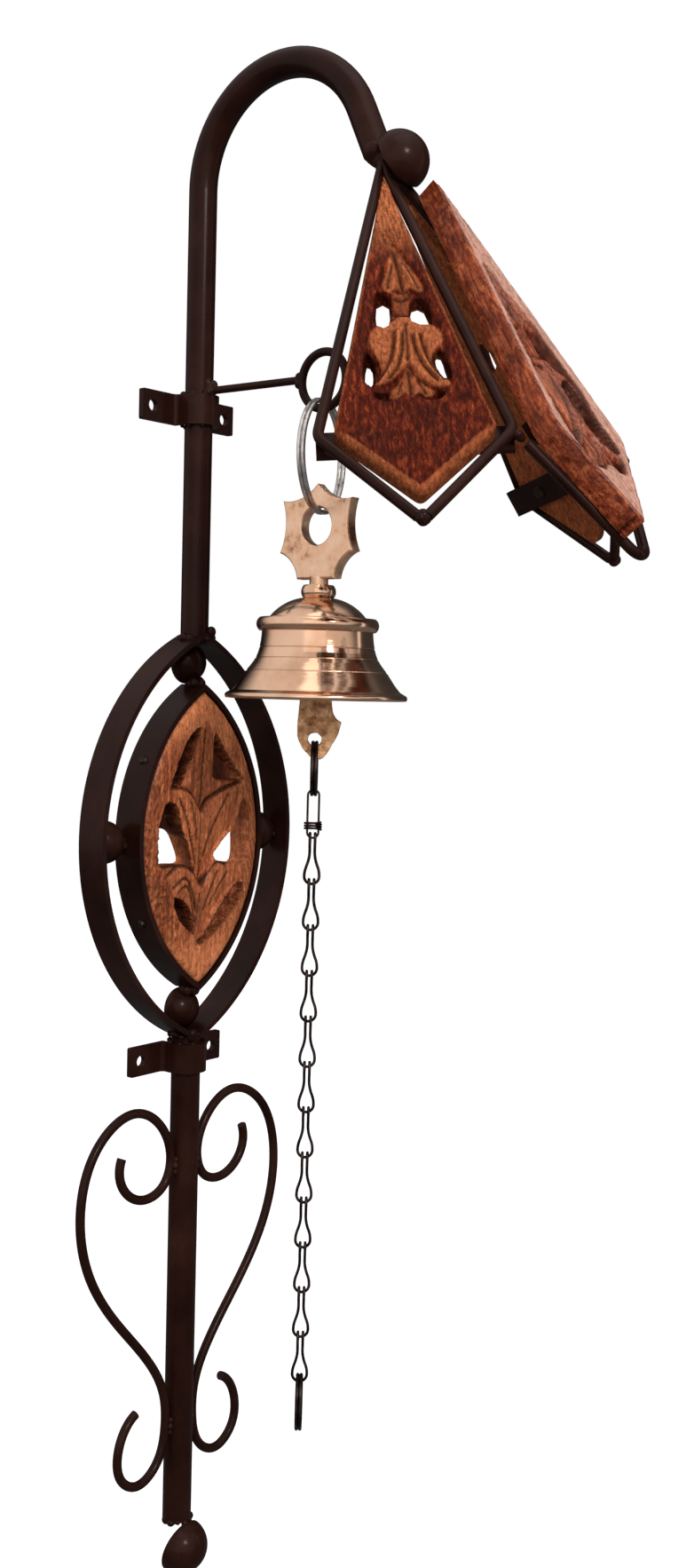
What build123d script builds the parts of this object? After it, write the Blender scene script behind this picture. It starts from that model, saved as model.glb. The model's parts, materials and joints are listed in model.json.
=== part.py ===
# Wall-mounted bell on a wrought-iron bracket: a bent-tube pole with an oval carved-wood
# medallion, a heart scroll, a three-panel hanging canopy and a ring-hung brass bell.
# Frame: X to the right as seen facing the wall, Y into the wall (wall plane Y = 0), Z up.
# Origin: centre of the four wall screw holes, on the wall plane. Units: millimetres.
from build123d import *
from math import cos, radians, sin, sqrt
import os

os.makedirs("parts", exist_ok=True)

# ---------------------------------------------------------------- driving dimensions
fit_gap = 0.05              # gap left between welded neighbours, mm
# pole
pole_y = -8.0               # tube axis in front of the wall
upper_tube_r = 6.0
lower_tube_r = 6.35
tube_wall = 1.2
pole_foot_z = -346.0
arch_start_z = 231.0
arch_r = 44.0
arch_sweep = 155.0          # degrees of bend, so the free end leans 25 degrees outward
arch_tail = 20.0
# wall brackets
bracket_z = 139.0           # the two brackets sit at plus and minus this height
strip_t = 2.5
strip_h = 12.7
ear_half = 28.0
hole_half_spacing = 22.0
screw_hole_r = 2.5
# medallion
medallion_z = -43.3
outer_arc_r = 95.4
outer_half_w = 58.9
inner_arc_r = 76.0
inner_half_w = 38.4
oval_t = 2.3
outer_back_y = -1.0
outer_front_y = -15.0
inner_back_y = -1.0
inner_front_y = -15.5
panel_back_y = -5.0
panel_front_y = -16.5
panel_bevel_w = 3.0         # the panel's rolled rim, across and down
panel_bevel_h = 2.5
small_dome_r = 9.1
small_dome_back_y = -3.0
# finial and canopy dome
big_dome_r = 11.8
finial_centre = Vector(0, -11.0, pole_foot_z - big_dome_r - 0.1)
finial_dip = 15.0           # degrees below horizontal that the finial dome points
canopy_dome_centre = Vector(0, -110.8, 226.4)
canopy_dome_rise = 28.0     # degrees above horizontal that the canopy dome points
# rods
rod_r = 2.0
stay_r = 1.6
stay_z = 147.1
eye_z = 146.0
# hanging gear: everything hangs on the line X = 0, Y = hang_y
hang_y = -76.0
eye_major_r = 11.25
eye_minor_r = 1.75
ring_yaw = 17.0             # turn of the hanging ring's plane from the wall plane, degrees
ring_wire_r = 0.9
ring_mean_r = 22.3
lower_yaw = 38.0            # turn of the clapper and everything below it, degrees

# ---------------------------------------------------------------- pole: two tubes
pole_plane = Plane(origin=(0, pole_y, 0), x_dir=(0, -1, 0), z_dir=(-1, 0, 0))
outer_offset = outer_arc_r - outer_half_w
oval_half_h = sqrt(outer_arc_r**2 - outer_offset**2)


def lens_face(arc_r, half_w):
    """Pointed oval of two arcs, centred on the sketch origin."""
    inset = arc_r - half_w
    half_h = sqrt(arc_r**2 - inset**2)
    with BuildSketch() as lens:
        with BuildLine():
            ThreePointArc((0, half_h), (half_w, 0), (0, -half_h))
            ThreePointArc((0, -half_h), (-half_w, 0), (0, half_h))
        make_face()
    return lens.sketch


def lens_block(arc_r, half_w, y_back, y_front):
    """Pointed oval block between two distances from the wall."""
    face_plane = Plane(origin=(0, y_back, medallion_z), x_dir=(1, 0, 0), z_dir=(0, -1, 0))
    lens = lens_face(arc_r, half_w)
    with BuildPart() as block:
        with BuildSketch(face_plane):
            add(lens)
        extrude(amount=y_back - y_front)
    return block.part


tube_cope = lens_block(outer_arc_r + fit_gap, outer_half_w + fit_gap, 5.0, -25.0)

with BuildPart() as upper_tube:
    with BuildLine(pole_plane) as arch_path:
        riser = Line((0, medallion_z + oval_half_h - 4.0), (0, arch_start_z))
        bend = JernArc(start=riser @ 1, tangent=riser % 1, radius=arch_r, arc_size=-arch_sweep)
        Line(bend @ 1, bend @ 1 + (bend % 1) * arch_tail)
    with BuildSketch(Plane(origin=arch_path.line @ 0, z_dir=arch_path.line % 0)):
        Circle(upper_tube_r)
        Circle(upper_tube_r - tube_wall, mode=Mode.SUBTRACT)
    sweep(path=arch_path.line)
    add(tube_cope, mode=Mode.SUBTRACT)
upper_tube.part.label = "upper_tube"
export_step(upper_tube.part, "parts/upper_tube.step")

with BuildPart() as lower_tube:
    with BuildSketch(Plane(origin=(0, pole_y, pole_foot_z), z_dir=(0, 0, 1))):
        Circle(lower_tube_r)
        Circle(lower_tube_r - tube_wall, mode=Mode.SUBTRACT)
    extrude(amount=medallion_z - oval_half_h + 4.0 - pole_foot_z)
    add(tube_cope, mode=Mode.SUBTRACT)
lower_tube.part.label = "lower_tube"
export_step(lower_tube.part, "parts/lower_tube.step")


# ---------------------------------------------------------------- pressed half-round domes
def half_dome(radius, centre, direction):
    """Solid half ball whose round side points along direction."""
    with BuildPart() as dome:
        with Locations(centre):
            Sphere(radius)
        split(bisect_by=Plane(origin=centre, z_dir=direction), keep=Keep.TOP)
    return dome.part


finial_aim = (0, -cos(radians(finial_dip)), -sin(radians(finial_dip)))
finial_ball = half_dome(big_dome_r, finial_centre, finial_aim)
finial_ball.label = "finial_ball"
export_step(finial_ball, "parts/finial_ball.step")

dome_aim = (0, -cos(radians(canopy_dome_rise)), sin(radians(canopy_dome_rise)))
canopy_ball = half_dome(big_dome_r, canopy_dome_centre, dome_aim)
canopy_ball.label = "canopy_ball"
export_step(canopy_ball, "parts/canopy_ball.step")

inner_offset = inner_arc_r - inner_half_w
inner_half_h = sqrt(inner_arc_r**2 - inner_offset**2)
dome_gap_z = (inner_half_h + oval_half_h - oval_t) / 2 - 0.6
dome_gap_x = (inner_half_w + outer_half_w - oval_t) / 2
small_domes = {
    "medallion_ball_top": (0, medallion_z + dome_gap_z),
    "medallion_ball_bottom": (0, medallion_z - dome_gap_z),
    "medallion_ball_left": (-dome_gap_x, medallion_z),
    "medallion_ball_right": (dome_gap_x, medallion_z),
}
for dome_name, (dome_x, dome_z) in small_domes.items():
    ball = half_dome(small_dome_r, Vector(dome_x, small_dome_back_y, dome_z), (0, -1, 0))
    ball.label = dome_name
    export_step(ball, f"parts/{dome_name}.step")


# ---------------------------------------------------------------- wall brackets
def saddle_bracket(height, tube_r):
    """Flat strip with two screw ears on the wall and a saddle over the tube."""
    inside_r = tube_r + fit_gap
    outside_r = inside_r + strip_t
    with BuildPart() as strap:
        with BuildSketch(Plane.XY.offset(height - strip_h / 2)):
            with Locations((0, -strip_t / 2)):
                Rectangle(2 * ear_half, strip_t)
            with Locations((0, pole_y / 2)):
                Rectangle(2 * outside_r, -pole_y)
            with Locations((0, pole_y)):
                Circle(outside_r)
            with Locations((0, pole_y / 2)):
                Rectangle(2 * inside_r, -pole_y, mode=Mode.SUBTRACT)
            with Locations((0, pole_y)):
                Circle(inside_r, mode=Mode.SUBTRACT)
            with Locations((0, strip_h / 2)):
                Rectangle(2 * ear_half, strip_h, mode=Mode.SUBTRACT)
        extrude(amount=strip_h)
        fold = [e for e in strap.edges().filter_by(Axis.Z)
                if abs(abs(e.center().X) - outside_r) < 0.01 and abs(e.center().Y + strip_t) < 0.01]
        fillet(fold, radius=2.0)
        corners = [e for e in strap.edges().filter_by(Axis.Y) if abs(abs(e.center().X) - ear_half) < 0.01]
        fillet(corners, radius=0.8)
        with BuildSketch(Plane(origin=(0, 1, height), x_dir=(1, 0, 0), z_dir=(0, -1, 0))):
            with GridLocations(2 * hole_half_spacing, 1, 2, 1):
                Circle(screw_hole_r)
        extrude(amount=2 * strip_t, mode=Mode.SUBTRACT)
    return strap.part


upper_wall_bracket = saddle_bracket(bracket_z, upper_tube_r)
upper_wall_bracket.label = "upper_wall_bracket"
export_step(upper_wall_bracket, "parts/upper_wall_bracket.step")
lower_wall_bracket = saddle_bracket(-bracket_z, lower_tube_r)
lower_wall_bracket.label = "lower_wall_bracket"
export_step(lower_wall_bracket, "parts/lower_wall_bracket.step")

# ---------------------------------------------------------------- medallion strips and panel
nail_angles = (-27.5, 26.5)     # degrees along the inner arc from its widest point
nail_r = 0.85
nail_head_r = 2.0
nail_head_t = 1.1
nail_y = -9.0


def nail_planes(side):
    """Frames on the inner strip's outer face, Z pointing away from the medallion."""
    planes = []
    for angle in nail_angles:
        out = Vector(side * cos(radians(angle)), 0, sin(radians(angle)))
        foot = Vector(-side * inner_offset, nail_y, medallion_z) + out * inner_arc_r
        planes.append(Plane(origin=foot, x_dir=(0, 1, 0), z_dir=out))
    return planes


def oval_strip(side, arc_r, half_w, y_back, y_front):
    """One half of a pointed oval rolled from flat strip; side -1 is left, +1 is right."""
    face_plane = Plane(origin=(0, y_back, medallion_z), x_dir=(1, 0, 0), z_dir=(0, -1, 0))
    outline = lens_face(arc_r, half_w)
    bore = lens_face(arc_r - oval_t, half_w - oval_t)
    with BuildPart() as strip:
        with BuildSketch(face_plane):
            add(outline)
            add(bore, mode=Mode.SUBTRACT)
            with Locations((-side * (half_w - fit_gap), 0)):
                Rectangle(2 * half_w, 4 * half_w, mode=Mode.SUBTRACT)
        extrude(amount=y_back - y_front)
    return strip.part


for side, side_name in ((-1, "left"), (1, "right")):
    outer = oval_strip(side, outer_arc_r, outer_half_w, outer_back_y, outer_front_y)
    outer.label = f"outer_oval_{side_name}"
    export_step(outer, f"parts/outer_oval_{side_name}.step")
    with BuildPart() as inner:
        add(oval_strip(side, inner_arc_r, inner_half_w, inner_back_y, inner_front_y))
        for plane in nail_planes(side):
            with Locations(plane.offset(-oval_t - 1)):
                Cylinder(nail_r + 0.1, 10, mode=Mode.SUBTRACT)
    inner.part.label = f"inner_oval_{side_name}"
    export_step(inner.part, f"parts/inner_oval_{side_name}.step")

panel_play = oval_t + 0.1
with BuildPart() as medallion_panel:
    add(lens_block(inner_arc_r - panel_play, inner_half_w - panel_play, panel_back_y, panel_front_y))
    rim = medallion_panel.faces().sort_by(Axis.Y)[0].edges()
    chamfer(rim, length=panel_bevel_h, length2=panel_bevel_w)
    for side in (-1, 1):
        for plane in nail_planes(side):
            with Locations(plane.offset(-oval_t - 5)):
                Cylinder(nail_r + fit_gap, 10, mode=Mode.SUBTRACT)
medallion_panel.part.label = "medallion_panel"
export_step(medallion_panel.part, "parts/medallion_panel.step")

with BuildPart() as medallion_nails:
    for side in (-1, 1):
        for plane in nail_planes(side):
            with BuildSketch(plane.offset(-oval_t - 6)):
                Circle(nail_r)
            extrude(amount=oval_t + 6.2)
            with BuildSketch(plane.offset(0.1)):
                Circle(nail_head_r)
            extrude(amount=nail_head_t, taper=25)
medallion_nails.part.label = "medallion_nails"
export_step(medallion_nails.part, "parts/medallion_nails.step")

# ---------------------------------------------------------------- heart scroll
scroll_touch = lower_tube_r + rod_r + 0.3
left_scroll_points = [
    (-38.0, -177.0),
    (-36.6, -190.5),
    (-25.5, -197.5),
    (-12.6, -194.0),
    (-scroll_touch, -186.0),
    (-14.0, -168.5),
    (-30.5, -159.2),
    (-51.0, -168.5),
    (-61.0, -193.0),
    (-57.0, -219.5),
    (-38.5, -248.2),
    (-20.5, -268.8),
    (-9.8, -288.0),
    (-scroll_touch, -302.0),
    (-13.5, -317.0),
    (-25.0, -322.8),
    (-35.5, -316.0),
    (-36.8, -303.0),
    (-27.0, -290.5),
]
scroll_plane = Plane(origin=(0, pole_y, 0), x_dir=(1, 0, 0), z_dir=(0, -1, 0))

with BuildPart() as left_scroll:
    with BuildLine(scroll_plane) as scroll_path:
        Spline(*left_scroll_points)
    with BuildSketch(Plane(origin=scroll_path.line @ 0, z_dir=scroll_path.line % 0)):
        Circle(rod_r)
    sweep(path=scroll_path.line)
left_scroll.part.label = "left_scroll"
export_step(left_scroll.part, "parts/left_scroll.step")

right_scroll = mirror(left_scroll.part, about=Plane.YZ)
right_scroll.label = "right_scroll"
export_step(right_scroll, "parts/right_scroll.step")

# ---------------------------------------------------------------- stay and eye
stay_root_y = pole_y - upper_tube_r - fit_gap
stay_tip_y = hang_y + eye_major_r + eye_minor_r + fit_gap
with BuildPart() as stay_rod:
    with BuildSketch(Plane(origin=(0, stay_root_y, stay_z), z_dir=(0, -1, 0))):
        Circle(stay_r)
    extrude(amount=stay_root_y - stay_tip_y)
stay_rod.part.label = "stay_rod"
export_step(stay_rod.part, "parts/stay_rod.step")

with BuildPart() as stay_eye:
    with Locations(Plane(origin=(0, hang_y, eye_z), z_dir=(1, 0, 0))):
        Torus(eye_major_r, eye_minor_r)
stay_eye.part.label = "stay_eye"
export_step(stay_eye.part, "parts/stay_eye.step")

# ---------------------------------------------------------------- canopy
# Hand-bent work: the left and right kites differ by a few millimetres.
apex = Vector(0, -104.7, 225.4)
wall_left = Vector(-76.0, -134.7, 109.0)
front_left = Vector(-33.0, -187.5, 113.6)
front_right = Vector(37.5, -190.0, 114.0)
wall_right = Vector(69.5, -128.5, 103.5)
kite_bottom = 38.5          # from the widest line down to the bottom corner
corner_bend_r = 6.0
apex_spread = 2.8           # each side frame's top bend sits this far from the middle
panel_t = 6.0
panel_out = 2.0             # outer face of a side panel above the rods' centre plane
panel_half_w = 28.5
panel_top_gap = 10.5        # the wood stops this far short of the frame's top bend
panel_bottom = 31.5
slab_t = 10.0
slab_half_w = 22.0
slab_top = 129.0
slab_bottom = 43.0
slab_shift = (-7.0, -6.0)   # middle of the slab's widest line on the front frame's plane
slab_tilt = -3.5
front_drop = 57.5           # the front rod's bend hangs this far below the widest line
bar_w = 11.0
bar_t = 2.0
front_bar_half = 26.0
screw_r = 1.2
screw_head_r = 2.6
screw_x = 14.0
front_screw_x = 10.0


def kite_frame(corner_a, corner_b, top):
    """Plane on a kite's widest line, X from corner_a to corner_b and Y up, and the top in that plane."""
    middle = (corner_a + corner_b) / 2
    across = (corner_b - corner_a).normalized()
    outward = across.cross(top - middle).normalized()
    plane = Plane(origin=middle, x_dir=across, z_dir=outward)
    return plane, plane.to_local_coords(top)


def kite_face(half_w, top, bottom_h):
    """Kite outline, its widest line on the sketch's X axis, with blunted side corners."""
    with BuildSketch() as kite:
        with BuildLine():
            Polyline(top, (half_w, 0), (0, -bottom_h), (-half_w, 0), close=True)
        make_face()
        fillet(kite.vertices().group_by(Axis.X)[0], radius=3)
        fillet(kite.vertices().group_by(Axis.X)[-1], radius=3)
    return kite.sketch


def panel_screws(plane, head_face, reach, spots):
    """Two round-headed screws driven outward through a crossbar into the wood."""
    with BuildPart() as screws:
        with BuildSketch(plane.offset(head_face)):
            with Locations(*spots):
                Circle(screw_r)
        extrude(amount=reach)
        with BuildSketch(plane.offset(head_face - fit_gap)):
            with Locations(*spots):
                Circle(screw_head_r)
        extrude(amount=-1.3, taper=20)
        with BuildSketch(plane.offset(head_face - fit_gap)):
            with Locations(*spots):
                Circle(screw_r)
        extrude(amount=fit_gap)
    return screws.part


screw_spots = [(-screw_x, 0), (screw_x, 0)]
bar_face = panel_out - panel_t - fit_gap        # bar's face against a side panel
all_screws = []
side_kites = {
    "left": (wall_left, front_left, apex + Vector(-apex_spread, 0, 0)),
    "right": (front_right, wall_right, apex + Vector(apex_spread, 0, 0)),
}
for side_name, (corner_a, corner_b, side_apex) in side_kites.items():
    side_plane, side_top = kite_frame(corner_a, corner_b, side_apex)
    side_half = (corner_b - corner_a).length / 2
    with BuildPart() as side_frame:
        lower_run = Vector(side_half, kite_bottom).normalized()
        foot_x = lower_run.X * rod_r * 1.3
        foot_y = -kite_bottom + lower_run.Y * rod_r * 1.3
        for run_side in (-1, 1):
            with BuildLine(side_plane) as frame_path:
                FilletPolyline((run_side * foot_x, foot_y), (run_side * side_half, 0), (side_top.X, side_top.Y),
                               radius=corner_bend_r)
            with BuildSketch(Plane(origin=frame_path.line @ 0, z_dir=frame_path.line % 0)):
                Circle(rod_r)
            sweep(path=frame_path.line)
        with Locations(side_plane * Pos(0, -kite_bottom + rod_r, 0) * Rot(0, 90, 0)):
            Sphere(rod_r * 1.25)
        with Locations(side_plane * Pos(side_top.X, side_top.Y, 0) * Rot(0, 90, 0)):
            Sphere(rod_r * 1.15)
    side_frame.part.label = f"canopy_{side_name}_frame"
    export_step(side_frame.part, f"parts/canopy_{side_name}_frame.step")

    wood_top = (side_top.X, side_top.Y - panel_top_gap)
    side_kite = kite_face(panel_half_w, wood_top, panel_bottom)
    with BuildPart() as side_panel:
        with BuildSketch(side_plane.offset(panel_out)):
            add(side_kite)
        extrude(amount=-panel_t)
        with BuildSketch(side_plane.offset(panel_out - panel_t)):
            with Locations(*screw_spots):
                Circle(screw_r + fit_gap)
        extrude(amount=4.0, mode=Mode.SUBTRACT)
    side_panel.part.label = f"canopy_{side_name}_panel"
    export_step(side_panel.part, f"parts/canopy_{side_name}_panel.step")

    with BuildPart() as side_bar:
        with BuildSketch(side_plane.offset(bar_face)):
            Rectangle(2 * side_half + 1.0, bar_w)
            with Locations(*screw_spots):
                Circle(screw_r + fit_gap, mode=Mode.SUBTRACT)
        extrude(amount=-bar_t)
        with BuildSketch(side_plane.offset(bar_face)):
            with Locations((-side_half + 1.2, 0), (side_half - 1.2, 0)):
                Rectangle(3.2, 4.0)
        extrude(amount=-bar_face - rod_r - fit_gap)
    side_bar.part.label = f"canopy_{side_name}_crossbar"
    export_step(side_bar.part, f"parts/canopy_{side_name}_crossbar.step")
    all_screws.append(panel_screws(side_plane, bar_face - bar_t, bar_t + 3.5, screw_spots))

front_plane, front_top = kite_frame(front_left, front_right, apex)
front_half = (front_right - front_left).length / 2
with BuildPart() as canopy_front_rod:
    v_start = 0.10
    v_x = front_half * (1 - v_start)
    v_y = -front_drop * v_start
    with BuildLine(front_plane) as v_path:
        FilletPolyline((-v_x, v_y), (0, -front_drop), (v_x, v_y), radius=corner_bend_r)
    with BuildSketch(Plane(origin=v_path.line @ 0, z_dir=v_path.line % 0)):
        Circle(rod_r)
    sweep(path=v_path.line)
canopy_front_rod.part.label = "canopy_front_rod"
export_step(canopy_front_rod.part, "parts/canopy_front_rod.step")

front_spots = [(slab_shift[0] - front_screw_x, 0), (slab_shift[0] + front_screw_x, 0)]
slab_plane = front_plane * Pos(slab_shift[0], slab_shift[1], rod_r + 0.1) * Rot(0, 0, slab_tilt)
front_kite = kite_face(slab_half_w, (0, slab_top), slab_bottom)
with BuildPart() as canopy_front_panel:
    with BuildSketch(slab_plane):
        add(front_kite)
    extrude(amount=slab_t)
    with BuildSketch(front_plane.offset(rod_r + 0.1)):
        with Locations(*front_spots):
            Circle(screw_r + fit_gap)
    extrude(amount=4.0, mode=Mode.SUBTRACT)
canopy_front_panel.part.label = "canopy_front_panel"
export_step(canopy_front_panel.part, "parts/canopy_front_panel.step")

with BuildPart() as canopy_front_crossbar:
    with BuildSketch(front_plane.offset(rod_r + fit_gap)):
        Rectangle(2 * front_bar_half, bar_w - 3.0)
        with Locations(*front_spots):
            Circle(screw_r + fit_gap, mode=Mode.SUBTRACT)
    extrude(amount=-3.0)
canopy_front_crossbar.part.label = "canopy_front_crossbar"
export_step(canopy_front_crossbar.part, "parts/canopy_front_crossbar.step")
all_screws.append(panel_screws(front_plane, rod_r + fit_gap - 3.0, 6.3, front_spots))

with BuildPart() as canopy_screws:
    for screw_pair in all_screws:
        add(screw_pair)
canopy_screws.part.label = "canopy_screws"
export_step(canopy_screws.part, "parts/canopy_screws.step")


# ---------------------------------------------------------------- split rings
def split_ring(mean_r, wire_r, centre_z, yaw):
    """Key ring of two turns lying side by side; its plane holds Z and the yawed X direction."""
    across = Vector(-sin(radians(yaw)), cos(radians(yaw)), 0)
    with BuildPart() as ring:
        for turn in (-1, 1):
            with Locations(Plane(origin=Vector(0, hang_y, centre_z) + across * turn * wire_r * 0.98, z_dir=across)):
                Torus(mean_r, wire_r)
    return ring.part


eye_floor_z = eye_z - eye_major_r + eye_minor_r
ring_top_z = eye_floor_z + 0.5 + ring_wire_r
ring_centre_z = ring_top_z - ring_mean_r
ring_foot_z = ring_top_z - 2 * ring_mean_r
hanging_ring = split_ring(ring_mean_r, ring_wire_r, ring_centre_z, ring_yaw)
hanging_ring.label = "hanging_ring"
export_step(hanging_ring, "parts/hanging_ring.step")

# ---------------------------------------------------------------- bell
crown_t = 5.6
crown_hole_r = 7.6
crown_hole_z = ring_foot_z - 5.7
crown_top_z = 104.6
crown_base_z = 66.4
collar_top_z = 64.0
stem_r = 3.8
collar_r = 6.8
lip_r = 37.1
lip_z = 17.8

crown_plane = Plane(origin=(-crown_t / 2, hang_y, 0), x_dir=(0, 1, 0), z_dir=(1, 0, 0))
with BuildPart() as bell_crown:
    with BuildSketch(crown_plane):
        with BuildLine():
            Line((-9.7, crown_base_z), (9.7, crown_base_z))
            ThreePointArc((9.7, crown_base_z), (12.6, 73.0), (19.0, 77.2))
            ThreePointArc((19.0, 77.2), (16.2, 88.0), (17.8, 98.4))
            ThreePointArc((17.8, 98.4), (8.0, 99.2), (0, crown_top_z))
            ThreePointArc((0, crown_top_z), (-8.0, 99.2), (-17.8, 98.4))
            ThreePointArc((-17.8, 98.4), (-16.2, 88.0), (-19.0, 77.2))
            ThreePointArc((-19.0, 77.2), (-12.6, 73.0), (-9.7, crown_base_z))
        make_face()
        with Locations((0, crown_hole_z)):
            Circle(crown_hole_r, mode=Mode.SUBTRACT)
    extrude(amount=crown_t)
    rims = bell_crown.edges().filter_by(Plane.YZ)
    fillet(rims, radius=0.9)
    with BuildSketch(Plane(origin=(0, hang_y, collar_top_z + fit_gap), z_dir=(0, 0, 1))):
        Circle(stem_r)
    extrude(amount=crown_base_z - collar_top_z + 1.0)
bell_crown.part.label = "bell_crown"
export_step(bell_crown.part, "parts/bell_crown.step")

bell_plane = Plane(origin=(0, hang_y, 0), x_dir=(1, 0, 0), z_dir=(0, -1, 0))
with BuildPart() as bell_body:
    with BuildSketch(bell_plane) as bell_section:
        with BuildLine():
            Line((0, collar_top_z), (collar_r - 0.8, collar_top_z))
            ThreePointArc((collar_r - 0.8, collar_top_z), (collar_r + 0.3, 61.4), (collar_r - 0.6, 58.8))
            ThreePointArc((collar_r - 0.6, 58.8), (14.6, 55.6), (20.0, 50.4))
            Line((20.0, 50.4), (23.6, 50.6))
            ThreePointArc((23.6, 50.6), (24.9, 48.0), (23.7, 45.3))
            Line((23.7, 45.3), (22.6, 45.1))
            Spline((22.6, 45.1), (23.4, 38.5), (24.9, 34.2), (28.6, 29.0), (34.3, 21.2),
                   tangents=((0.05, -1), (0.7, -0.75)))
            Line((34.3, 21.2), (lip_r - 0.6, 20.0))
            ThreePointArc((lip_r - 0.6, 20.0), (lip_r, 19.0), (lip_r - 0.5, lip_z))
            Line((lip_r - 0.5, lip_z), (35.4, lip_z - 0.1))
            Spline((35.4, lip_z - 0.1), (26.9, 28.0), (22.6, 34.0), (20.9, 40.0), (20.2, 45.0),
                   tangents=((-0.6, 0.75), (-0.05, 1)))
            ThreePointArc((20.2, 45.0), (15.0, 52.0), (5.0, 55.4))
            Line((5.0, 55.4), (0, 55.4))
            Line((0, 55.4), (0, collar_top_z))
        make_face()
    revolve(axis=Axis((0, hang_y, 0), (0, 0, 1)))
    for groove_z, groove_r in ((38.6, 23.38), (34.3, 24.84), (29.2, 28.46)):
        with Locations((0, hang_y, groove_z)):
            Torus(groove_r + 0.1, 0.3, mode=Mode.SUBTRACT)
bell_body.part.label = "bell_body"
export_step(bell_body.part, "parts/bell_body.step")

# ---------------------------------------------------------------- clapper and its staple
plate_dir = Vector(cos(radians(lower_yaw)), sin(radians(lower_yaw)), 0)     # plate normal
wide_dir = Vector(sin(radians(lower_yaw)), -cos(radians(lower_yaw)), 0)     # plate width
clapper_pivot_z = 46.0
clapper_hole_z = 1.7
clapper_hole_r = 2.7
clapper_eye_r = 2.3
clapper_t = 3.4
staple_r = 1.2
staple_half = 4.6

staple_plane = Plane(origin=(0, hang_y, 0), x_dir=plate_dir, z_dir=wide_dir)
with BuildPart() as clapper_staple:
    with BuildLine(staple_plane) as staple_path:
        FilletPolyline((-staple_half, 53.6), (-staple_half, clapper_pivot_z), (staple_half, clapper_pivot_z),
                       (staple_half, 53.6), radius=1.6)
    with BuildSketch(Plane(origin=staple_path.line @ 0, z_dir=staple_path.line % 0)):
        Circle(staple_r)
    sweep(path=staple_path.line)
clapper_staple.part.label = "clapper_staple"
export_step(clapper_staple.part, "parts/clapper_staple.step")

clapper_plane = Plane(origin=Vector(0, hang_y, 0) + plate_dir * clapper_t / 2, x_dir=wide_dir, z_dir=-plate_dir)
with BuildPart() as clapper:
    with BuildSketch(clapper_plane):
        with BuildLine():
            ThreePointArc((-4.2, clapper_pivot_z), (0, clapper_pivot_z + 4.2), (4.2, clapper_pivot_z))
            Spline((4.2, clapper_pivot_z), (5.2, 32.0), (6.6, 18.0), (6.9, 13.2))
            ThreePointArc((6.9, 13.2), (8.2, 10.6), (10.7, 8.9))
            Spline((10.7, 8.9), (9.7, 5.0), (7.2, -0.2), (3.2, -5.8), (0.6, -6.6), (-3.0, -4.4),
                   (-6.4, 0.4), (-7.3, 8.0), (-6.6, 18.0), (-5.2, 32.0), (-4.2, clapper_pivot_z))
        make_face()
        with Locations((0, clapper_pivot_z)):
            Circle(clapper_eye_r, mode=Mode.SUBTRACT)
        with Locations((0, clapper_hole_z)):
            Circle(clapper_hole_r, mode=Mode.SUBTRACT)
    extrude(amount=clapper_t)
clapper.part.label = "clapper"
export_step(clapper.part, "parts/clapper.step")

small_ring_r = 10.6
small_wire_r = 0.75
clapper_ring_top = 0.35
clapper_ring_centre = clapper_ring_top - small_ring_r
clapper_ring = split_ring(small_ring_r, small_wire_r, clapper_ring_centre, lower_yaw)
clapper_ring.label = "clapper_ring"
export_step(clapper_ring, "parts/clapper_ring.step")

# ---------------------------------------------------------------- tie wire
tie_wire_r = 0.45
tie_half = 2.3
tie_top_z = clapper_ring_centre - small_ring_r + small_wire_r + 0.7 + tie_wire_r
tie_foot_z = -38.6
loop_plane = Plane(origin=(0, hang_y, 0), x_dir=wide_dir, z_dir=-plate_dir)
with BuildPart() as tie_wire_loop:
    with BuildLine(loop_plane) as tie_path:
        Line((-tie_half, tie_foot_z + tie_half), (-tie_half, tie_top_z - tie_half))
        ThreePointArc((-tie_half, tie_top_z - tie_half), (0, tie_top_z), (tie_half, tie_top_z - tie_half))
        Line((tie_half, tie_top_z - tie_half), (tie_half, tie_foot_z + tie_half))
        ThreePointArc((tie_half, tie_foot_z + tie_half), (0, tie_foot_z), (-tie_half, tie_foot_z + tie_half))
    with BuildSketch(Plane(origin=tie_path.line @ 0, z_dir=tie_path.line % 0)):
        Circle(tie_wire_r)
    sweep(path=tie_path.line)
tie_wire_loop.part.label = "tie_wire_loop"
export_step(tie_wire_loop.part, "parts/tie_wire_loop.step")

knot_r = tie_half + 2 * tie_wire_r + 0.1
knot_foot_z = tie_foot_z + 3.4
with BuildPart() as tie_wire_knot:
    with BuildLine():
        knot_coil = Helix(pitch=1.05, height=3.1, radius=knot_r)
    knot_plane = Plane(origin=(0, hang_y, knot_foot_z), x_dir=wide_dir, z_dir=(0, 0, 1))
    knot_path = knot_plane.location * knot_coil
    with BuildSketch(Plane(origin=knot_path @ 0, z_dir=knot_path % 0)):
        Circle(tie_wire_r)
    sweep(path=knot_path, is_frenet=True)
tie_wire_knot.part.label = "tie_wire_knot"
export_step(tie_wire_knot.part, "parts/tie_wire_knot.step")

# ---------------------------------------------------------------- hairpin chain
link_count = 12
link_pitch = 18.9
link_wire_r = 0.6
leg_half = 1.05
pear_half = 3.05
hook_r = 1.85
hook_tip = 2.2


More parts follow.
